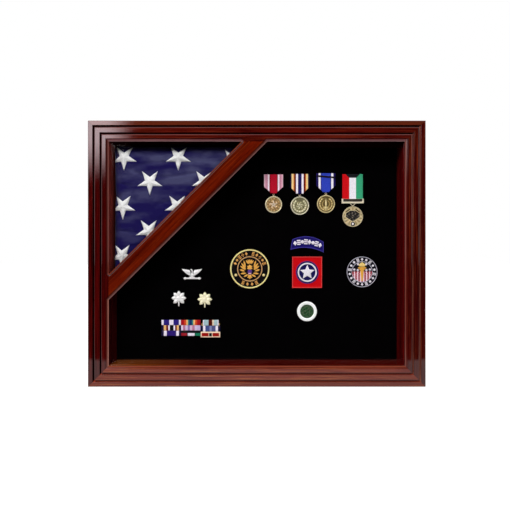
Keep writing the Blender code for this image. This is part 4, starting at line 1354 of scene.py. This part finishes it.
def silver_patch():
    """The round patch with a silver border, a striped lower half, and marks, dots and a torch."""
    box = Box("silver_round_patch")
    x, z = centre = box.centre
    inner, stripe_width = 0.0187, 0.0028
    navy = thread("silver_patch_navy", (10, 10, 22))
    silver = thread("silver_patch_border", (214, 216, 226), UP)
    red, white = thread("silver_patch_red", (170, 22, 40)), thread("silver_patch_white", (255, 232, 236))

    def zone(px, pz):
        stripe = np.where(np.floor(px / stripe_width + 0.5) % 2 == 0, 3, 4)
        return np.where((pz < 0.0008) & (np.hypot(px, pz) < inner), stripe, 2)

    round_patch(box, navy, silver, 0.0010, zone, (navy, red, white))
    emblem("silver_patch_rim", ring_shapes(centre, inner + 0.0003, 0.0010, 60), silver)
    marks = marks_along(centre, 0.0232, 90, 430, 18, (0.0060, 0.0050), (0, 2, 1))
    emblem("silver_patch_marks", marks, thread("silver_patch_marks", (255, 255, 255)))
    dots = [circle((x + side * right, z + up), 0.0021, 14)
            for right, up in ((0.0075, 0.0142), (0.0145, 0.0044), (0.0080, 0.0034)) for side in (-1, 1)]
    emblem("silver_patch_dots", dots, thread("silver_patch_dot", (245, 240, 246)))
    staff = [(x + side, z + up) for side, up in
             ((-0.0014, -0.0166), (0.0014, -0.0166), (0.0034, 0.0062), (-0.0034, 0.0062))]
    cups = [bar((x, z + 0.0074), 0.0150, 0.0028), bar((x, z + 0.0046), 0.0100, 0.0024)]
    torch = [(staff, (x, z - 0.0044)), *cups]
    emblem("silver_patch_torch", torch, thread("silver_patch_torch", (250, 186, 70)))
    flames = []
    for lean, long in ((-0.62, 0.0066), (0.62, 0.0066), (-0.30, 0.0084), (0.30, 0.0084), (0.0, 0.0104)):
        spot = (x - 0.0072 * math.sin(lean), z + 0.0088 + long / 2)
        flames.append(leaf(spot, long, 0.0038, NORTH + lean))
    emblem("silver_patch_flame", flames, thread("silver_patch_flame", (255, 226, 130)))


def square_patch():
    """The red patch with a corded edge, and a white ring and star on its navy disc."""
    box = Box("square_patch")
    x, z, border = box.x, box.z, 0.0018

    def place(s, t):
        return x + box.half_x * np.sin((s - 0.5) * math.pi), z + box.half_z * np.sin((t - 0.5) * math.pi)

    def inside(px, pz):
        return np.minimum(box.half_x - np.abs(px - x), box.half_z - np.abs(pz - z))

    def height(px, pz, s, t):
        along = np.where(box.half_x - np.abs(px - x) < box.half_z - np.abs(pz - z), pz, px)
        stitches = 0.0001 * wave(along / 0.0009 * FULL_TURN)
        return FELT + PATCH_FIELD + cord(inside(px, pz) / border) * (PATCH_CORD + stitches)

    def zone(px, pz, s, t):
        return inside(px, pz) < border

    mesh = sheet(box.node, place, height, (170, 170), FELT, False, zone)
    reds = [thread("square_patch_red", (214, 8, 18)), thread("square_patch_border", (236, 70, 66))]
    piece("square_patch_twill", mesh, reds, box.node, 60)
    spot, radius = (x + 0.0002, z), 0.0206
    emblem("square_patch_disc", [circle(spot, radius, 64)], thread("square_patch_disc", (26, 24, 84)),
           (0.0008, 0.0012, 0.00125))
    emblem("square_patch_disc_edge", ring_shapes(spot, radius, 0.0014, 64),
           thread("square_patch_disc_edge", (96, 50, 124), UP), (0.0008, 0.0013, 0.0017))
    white = thread("square_patch_white", (250, 250, 252))
    emblem("square_patch_ring", ring_shapes(spot, 0.0164, 0.0028, 40), white, ON_DISC)
    big_star = star(spot, 0.0142, NORTH, 5, 0.46)
    emblem("square_patch_star", [big_star], white, (*ON_DISC[:2], 0.0025))


def tab_patch():
    """The curved tab: a dark blue arc with a lighter edge and a row of white marks in place of a word."""
    box, tilt, edge_width = Box("tab_patch"), math.radians(-4.5), 0.0018
    length, tall = 0.061, 0.021

    def tilted(s, t):
        bend = (2 * s - 1) ** 2
        upper, lower = -0.0081 * bend, -0.0217 - 0.0063 * bend
        x, z = (2 * s - 1) * (0.0312 - 0.0020 * t), lower + (upper - lower) * t
        return x * math.cos(tilt) - z * math.sin(tilt), x * math.sin(tilt) + z * math.cos(tilt)

    around = np.array([tilted(s, t) for s in np.linspace(0, 1, 41) for t in (0.0, 1.0)])
    shift_x, shift_z = box.centre - (around.min(0) + around.max(0)) / 2

    def place(s, t):
        x, z = tilted(s, t)
        return x + shift_x, z + shift_z

    def border(s, t):
        return np.minimum(np.minimum(s, 1 - s) * length, np.minimum(t, 1 - t) * tall)

    def height(x, z, s, t):
        stitches = 0.0001 * wave(s * FULL_TURN * 70)
        return FELT + PATCH_FIELD + cord(border(s, t) / edge_width) * (PATCH_CORD + stitches)

    def zone(x, z, s, t):
        return border(s, t) < edge_width

    mesh = sheet(box.node, place, height, (260, 60), FELT, False, zone)
    blues = [thread("tab_blue", (28, 22, 102)), thread("tab_blue_edge", (62, 56, 150))]
    piece("tab_patch_twill", mesh, blues, box.node, 60)
    shapes, kinds = [], (0, 2, 1, 2, 0, 1, 2, 0)
    for i, kind in enumerate(kinds):
        s = 0.115 + 0.77 * i / (len(kinds) - 1)
        spot = tuple(float(value) for value in place(s, 0.52))
        shapes += mark(kind, spot, 0.0096, 0.0070, tilt - 0.56 * (s - 0.5))
    emblem("tab_patch_marks", shapes, thread("tab_white", (255, 252, 255)))


# ---- Pins ------------------------------------------------------------------------------------------------


def mottled_enamel():
    """Green and brown enamel in blotches, under a clear coat."""
    made, g = material("pin_mottled_enamel")
    blotches = g.noise(g.place(), 330.0, 3.0, 0.65)
    specks = g.noise(g.place(), 900.0, 2.0)
    colour = g.ramp(blotches, ((0.34, (6, 20, 10)), (0.44, (16, 74, 34)), (0.54, (58, 84, 56)),
                               (0.62, (96, 98, 80)), (0.70, (22, 44, 26))))
    colour = g.mix(g.span(specks, 0.55, 0.7, 0.0, 0.5), colour, (20, 26, 20))
    g.surface(colour, 0.25, g.bump(blotches, 0.0002), coat_weight=0.6, coat_roughness=0.08)
    return made


def round_pin():
    """An enamelled pin: a white domed ring round a mottled green and brown middle."""
    box = Box("round_pin")
    radius = box.half_x
    inner = radius - 0.0058
    white = plain("pin_white_enamel", (240, 250, 238), (250, 255, 248), 160.0, 0.25, 0.00002, coat=0.5)
    edge = 0.0014
    profile = [(0.0, 0.0020), (inner - 0.0008, 0.0019), (inner, 0.0020)]
    for c, s in arc((0, 0), 1, 0, 90, 6):
        profile.append((inner + 0.0004 + 0.0026 * (1 - c), 0.0022 + 0.0006 * s))
    profile += [(radius - edge + edge * s, edge + edge * c) for c, s in arc((0, 0), 1, 0, 90, 8)]
    profile += [(radius, 0.0), (0.0, 0.0)]
    zones = [1 if r < inner and h > 0.001 else 0 for r, h in profile]
    mesh = turned(box.node, profile, (box.x, depth_y(FELT), box.z), -BACKWARD, 96, zones)
    piece("round_pin_enamelled", mesh, [white, mottled_enamel()], box.node, 50)


def bird_pin():
    """A bird with spread wings on a bar: feathered wings, a curved neck and a tail."""
    box = Box("bird_pin")
    x, z = box.centre
    tones = ((44, 46, 44), (214, 220, 212), (250, 255, 248))
    silver = struck("pin_silver", FELT + 0.0021, 0.0014, tones, 0.3, 0.45)
    feathers = []
    for side in (-1, 1):
        for i in range(7):  # from the longest feather inward
            root = Vector((x + side * (0.0016 + 0.0003 * i), z - 0.0046 + 0.0006 * i))
            tip = Vector((x + side * (0.0192 - 0.0022 * i), z + 0.0094 - 0.0003 * i))
            run = tip - root
            feathers.append(leaf(tuple((root + tip) / 2), run.length, 0.0040, math.atan2(run.y, run.x)))
    bends = ((0.0, 0.6), (0.5, 2.8), (0.6, 4.9), (0.0, 6.9), (-1.2, 7.9), (-2.4, 7.2))  # in mm, right and up
    neck = [(x + right / 1000, depth_y(FELT + 0.0019), z + up / 1000) for right, up in bends]
    rest = [bar((x + 0.0004, z - 0.0086), 0.0300, 0.0028), leaf((x, z - 0.0068), 0.0130, 0.0046, 0.0)]
    rest += [leaf((x + 0.0004 + side * 0.0130, z - 0.0086), 0.0074, 0.0048, 0.0) for side in (-1, 1)]
    parts = [raised("wings", feathers, 0.0, 0.0012, 0.0021),
             raised("body", [leaf((x, z - 0.0022), 0.0104, 0.0060, NORTH)], 0.0, 0.0012, 0.0028),
             wire("neck", neck, 0.0011, False),
             raised("bar", rest, 0.0, 0.0010, 0.0020)]
    piece("bird_pin_cast", joined(box.node, parts), silver, box.node, 50)


def lobes(box, reach, long, wide):
    """Seven leaves, 45 degrees apart, their sizes as shares of the pin's radius."""
    radius, hub, made = box.half_z, (box.x, box.z + box.half_z * 0.04), []
    for i in range(7):
        degrees = 90 + (i - 3) * 45
        spot = polar(hub, radius * reach, degrees)
        made.append(leaf(spot, radius * long, radius * wide, math.radians(degrees)))
    return made


def leaf_pins():
    """Two clusters of seven pointed lobes and a stem, with a raised vein on each lobe."""
    silvers = ((84, 86, 84), (226, 232, 222), (250, 255, 246))
    golds = ((96, 96, 52), (230, 232, 172), (255, 255, 214))
    for side, metal_name, slot, tones in (("left", "leaf_silver", "silver_metal", silvers),
                                          ("right", "leaf_pale_gold", "pale_gold_metal", golds)):
        box = Box(f"leaf_pin_{side}")
        look = struck(metal_name, FELT + 0.0020, 0.0016, tones, 0.3, 0.4)
        x, z, radius = box.x, box.z, box.half_z
        stem = bar((x, z - radius * 0.70), radius * 0.62, radius * 0.17, NORTH)
        blades = lobes(box, 0.53, 0.86, 0.52) + [stem, star((x, z), radius * 0.46, NORTH, 8, 0.8)]
        parts = [raised("lobes", blades, 0.0, 0.0007, 0.0019),
                 raised("veins", lobes(box, 0.50, 0.60, 0.08), 0.0008, 0.0019, 0.0024)]
        piece(f"{box.node}_cast", joined(box.node, parts), look, box.node, 50)


# ---- Ribbon rack -----------------------------------------------------------------------------------------

NAVY, VIOLET, WHITE, CREAM = (24, 22, 60), (46, 34, 124), (248, 244, 252), (244, 222, 186)
BLACK, RED, DEEP_RED, GREEN = (16, 20, 24), (172, 22, 30), (112, 14, 20), (26, 128, 88)
GOLD, ORANGE, TEAL, GREY_BLUE = (246, 196, 120), (214, 74, 36), (60, 140, 132), (84, 92, 138)
ROSE, LILAC, BRICK = (196, 130, 160), (222, 206, 232), (160, 16, 10)
SERVICE_RIBBONS = (  # rows of three, from the top; each is a tuple of (where the stripe ends, colour)
    ((0.11, WHITE), (0.40, VIOLET), (0.62, WHITE), (0.90, VIOLET), (1.0, WHITE)),
    ((0.16, RED), (0.26, ORANGE), (0.35, GOLD), (0.42, TEAL), (0.56, (22, 52, 104)), (0.63, TEAL),
     (0.72, GOLD), (0.83, ORANGE), (1.0, RED)),
    ((0.06, WHITE), (0.36, (170, 204, 204)), (0.60, (84, 20, 6)), (0.70, CREAM), (0.94, (176, 208, 206)),
     (1.0, WHITE)),
    ((0.12, NAVY), (0.24, GOLD), (0.35, DEEP_RED), (0.43, WHITE), (0.62, BLACK), (0.70, WHITE),
     (0.79, DEEP_RED), (0.90, GOLD), (1.0, NAVY)),
    ((0.10, (238, 226, 244)), (0.22, ROSE), (0.34, LILAC), (0.46, (150, 130, 186)), (0.58, (228, 196, 214)),
     (0.70, ROSE), (0.84, LILAC), (1.0, (206, 190, 226))),
    ((0.12, NAVY), (0.24, WHITE), (0.45, (70, 84, 140)), (0.56, (140, 148, 186)), (0.76, GREY_BLUE),
     (0.88, WHITE), (1.0, NAVY)),
    ((0.12, NAVY), (0.27, WHITE), (0.76, (48, 30, 116)), (0.90, WHITE), (1.0, NAVY)),
    ((0.30, (162, 34, 44)), (0.34, BLACK), (0.70, WHITE), (0.73, BLACK), (1.0, GREEN)),
    ((0.40, BRICK), (0.43, CREAM), (0.57, BLACK), (0.61, CREAM), (1.0, BRICK)),
)


def black_head(top):
    """The black upper part of the eighth ribbon."""
    def add(g, place, colour):
        near = g.math("GREATER_THAN", g.dot(place, UP), top - 0.0042)
        return g.mix(near, colour, BLACK)
    return add


def cream_edge(x0, x1, z0, z1):
    """The cream border of the ninth ribbon."""
    def add(g, place, colour):
        x, z = g.dot(place, RIGHT), g.dot(place, UP)
        sides = [g.math("SUBTRACT", *pair) for pair in ((x, x0), (x1, x), (z, z0), (z1, z))]
        near = g.math("MINIMUM", g.math("MINIMUM", *sides[:2]), g.math("MINIMUM", *sides[2:]))
        return g.mix(g.math("LESS_THAN", near, 0.0021), colour, CREAM)
    return add


def service_bar(x0, x1, z0, z1, seed):
    """One ribbon folded round its bar: soft upper and lower edges and a slightly uneven front."""
    def height(px, pz, s, t):
        ends = rounding(np.minimum(px - x0, x1 - px), 0.0004)
        folds = rounding(np.minimum(pz - z0, z1 - pz), 0.0011)
        uneven = 0.00008 * np.sin(px * 420 + seed * 1.7) * np.sin(pz * 300 + seed)
        return FELT + 0.0024 - ends - folds + uneven

    return sheet("service_bar", rectangle(x0, x1, z0, z1), height, (60, 26), FELT + 0.0007)


def ribbon_rack():
    """Nine service ribbons, each folded round its own bar, on a plated holder."""
    box = Box("ribbon_rack")
    low, high = box.low, box.high
    step = low.x + (high.x - low.x) * 0.6645  # where the right column starts, which hangs lower
    column_edges = (low.x, low.x + (step - low.x) / 2, step, high.x)
    left_foot = low.z + 0.0028
    gap_x, gap_z = 0.0002, 0.00015
    for number, stops in enumerate(SERVICE_RIBBONS):
        row, column = divmod(number, 3)
        pitch = (high.z - (low.z if column == 2 else left_foot)) / 3
        x0, x1 = column_edges[column] + gap_x, column_edges[column + 1] - gap_x
        if number == 2:  # the narrow ribbon of the upper right corner
            x0, x1 = x0 + 0.0042, x1 - 0.0032
        z1, z0 = high.z - row * pitch - gap_z, high.z - (row + 1) * pitch + gap_z
        extra = {7: black_head(z1), 8: cream_edge(x0, x1, z0, z1)}.get(number)
        look = striped(f"service_ribbon_{number + 1}", (x0 + x1) / 2, x1 - x0, stops, False, extra)
        piece(f"service_ribbon_bar_{number + 1}", service_bar(x0, x1, z0, z1, number), look,
              box.node if number == 0 else None, 60)
    brass = metal("rack_brass", (214, 190, 120), (120, 100, 56), 0.35)
    plates = [bar(((a + b) / 2, (high.z + left_foot) / 2), 0.034, high.z - left_foot - 0.003)
              for a, b in zip(column_edges, column_edges[1:])]
    holder = raised("holder", plates, 0.0, 0.0006, 0.0006)
    piece("ribbon_rack_holder", holder, brass, None)


# ---- Back ------------------------------------------------------------------------------------------------


def back_and_boards():
    board = hardboard()
    dress("flag_back_panel", board)
    dress("medal_back_panel", board)
    dress("medal_felt_board", felt("board_felt", (1, 1, 1), (5, 4, 5)))
    dress("front_glass", glass(), 0.0)
    zinc = metal("zinc_plating", (206, 206, 198), (140, 138, 128), 0.3)
    rubber = plain("rubber_dark", (38, 37, 35), (60, 58, 55), 500.0, 0.7, 0.0001)
    for node in frame["nodes"]:
        if node.startswith(("turn_button", "button_screw", "hanger")):
            dress(node, zinc, 0.00015)
        elif node.startswith("wall_bumper"):
            dress(node, rubber)


# ---- Stage -----------------------------------------------------------------------------------------------


def world():
    """White for the camera. The case is lit by and mirrors a pale room with a dark patch ahead of it."""
    sky = bpy.data.worlds.new("studio")
    bpy.context.scene.world = sky
    sky.use_nodes = True
    g = Graph(sky.node_tree)
    toward = g.node("TexCoord").outputs["Generated"]
    x, y, z = (g.dot(toward, axis) for axis in (RIGHT, BACKWARD, UP))
    squares = [g.math("POWER", g.math("DIVIDE", *pair), 2.0) for pair in ((x, 0.62), (z, 0.42))]
    reach = g.math("SQRT", g.math("ADD", *squares))
    behind = g.math("SUBTRACT", 1.0, g.math("LESS_THAN", y, 0.0))
    room = g.math("MAXIMUM", g.span(reach, 0.62, 1.1, 0.015, 1.0, True), behind)
    strength = g.product(room, g.span(z, -0.2, 0.9, 0.55, 1.15))
    forward = g.math("MAXIMUM", g.product(y, -1.0), 0.001)
    left, up = g.math("DIVIDE", g.product(x, -1.0), forward), g.math("DIVIDE", z, forward)
    softbox = g.product(g.span(left, 0.205, 0.26, smooth=True), g.span(up, 0.12, 0.20, smooth=True))
    softbox = g.product(softbox, g.product(g.span(left, 0.75, 0.55), g.span(up, 0.60, 0.42)))
    aside = g.product(g.span(y, -0.75, -0.45, smooth=True), g.span(y, 0.35, 0.15, smooth=True))
    panels = g.product(aside, g.span(z, 0.5, 0.2), g.span(x, -0.3, 0.3, 0.5, 0.9))
    shine = g.math("ADD", g.product(softbox, 9.0), panels)
    rays = g.node("LightPath").outputs

    def glow(colour, power):
        return g.node("Background", {"Color": (*colour, 1.0), "Strength": power}).outputs[0]

    rosy = glow((1.0, 0.86, 0.90), g.product(shine, rays["Is Glossy Ray"]))
    pale = g.node("AddShader", {0: glow((1.0, 0.97, 0.98), strength), 1: rosy}).outputs[0]
    white = glow((1.0, 1.0, 1.0), 1.0)
    g.put_out(g.node("MixShader", {0: rays["Is Camera Ray"], 1: pale, 2: white}).outputs[0], "World")


def floor():
    """A pale floor. The lacquer mirrors only its nearest part, as it would a tabletop that ends there."""
    shape = bmesh.new()
    bmesh.ops.create_grid(shape, x_segments=1, y_segments=1, size=12.0)
    obj = helper("floor", mesh_of("floor", shape))
    obj.location.z = CAD_BOX[0].z - 0.0002
    made, g = material("floor_white")
    rays = g.node("LightPath").outputs
    shaded = g.node("BsdfDiffuse", {"Color": (0.3, 0.3, 0.3, 1.0)}).outputs[0]
    pale = g.node("Emission", {"Strength": 0.86}).outputs[0]
    seen = g.node("AddShader", {0: shaded, 1: pale}).outputs[0]
    front_y = depth_y(DEPTH)
    near = g.span(g.dot(g.place(), BACKWARD), front_y - 0.275, front_y - 0.255, 0.02, 1.0)
    glow = g.span(rays["Is Glossy Ray"], 0.0, 1.0, 0.12, near)
    mirrored = g.node("Emission", {"Color": (1.0, 0.88, 0.86, 1.0), "Strength": glow}).outputs[0]
    g.put_out(g.node("MixShader", {0: rays["Is Camera Ray"], 1: mirrored, 2: seen}).outputs[0])
    give_looks(obj.data, made)


def area_light(name, place, size, power):
    """A soft rectangular light aimed at the middle of the case, which shiny surfaces don't show."""
    light = bpy.data.lights.new(name, "AREA")
    light.shape = "RECTANGLE"
    light.size, light.size_y = size
    light.energy = power
    obj = helper(name, light)
    obj.location = place
    toward = Vector((0.0, 0.0, HEIGHT / 2)) - Vector(place)
    obj.rotation_euler = toward.to_track_quat("-Z", "Y").to_euler()
    obj.visible_camera = False
    obj.visible_glossy = False


CAMERA_Y = -1.077
FOCAL_LENGTH = 41.8  # in mm, on a sensor 36 mm wide


def camera():
    """Square in front of the case, at its mid height."""
    data = bpy.data.cameras.new("camera")
    data.sensor_width = 36.0
    data.lens = FOCAL_LENGTH
    data.shift_x, data.shift_y = -0.0035, -0.0026
    obj = helper("camera", data)
    obj.location = (LEFT_X + WIDTH / 2, CAMERA_Y, HEIGHT / 2)
    obj.rotation_euler = (NORTH, 0.0, 0.0)
    bpy.context.scene.camera = obj


def build():
    bpy.context.scene.view_settings.view_transform = "Standard"
    wooden_frame()
    flag_stars(folded_flag())
    medal_ribbons()
    medal_discs()
    medal_rings()
    channel_bar()
    medal_stone()
    gold_patch()
    silver_patch()
    square_patch()
    tab_patch()
    round_pin()
    bird_pin()
    leaf_pins()
    ribbon_rack()
    back_and_boards()
    world()
    floor()
    area_light("key", (-0.45, -1.7, 1.45), (1.0, 0.8), 46)
    area_light("back_fill", (0.6, 1.8, 1.2), (1.4, 1.0), 14)
    camera()


build()
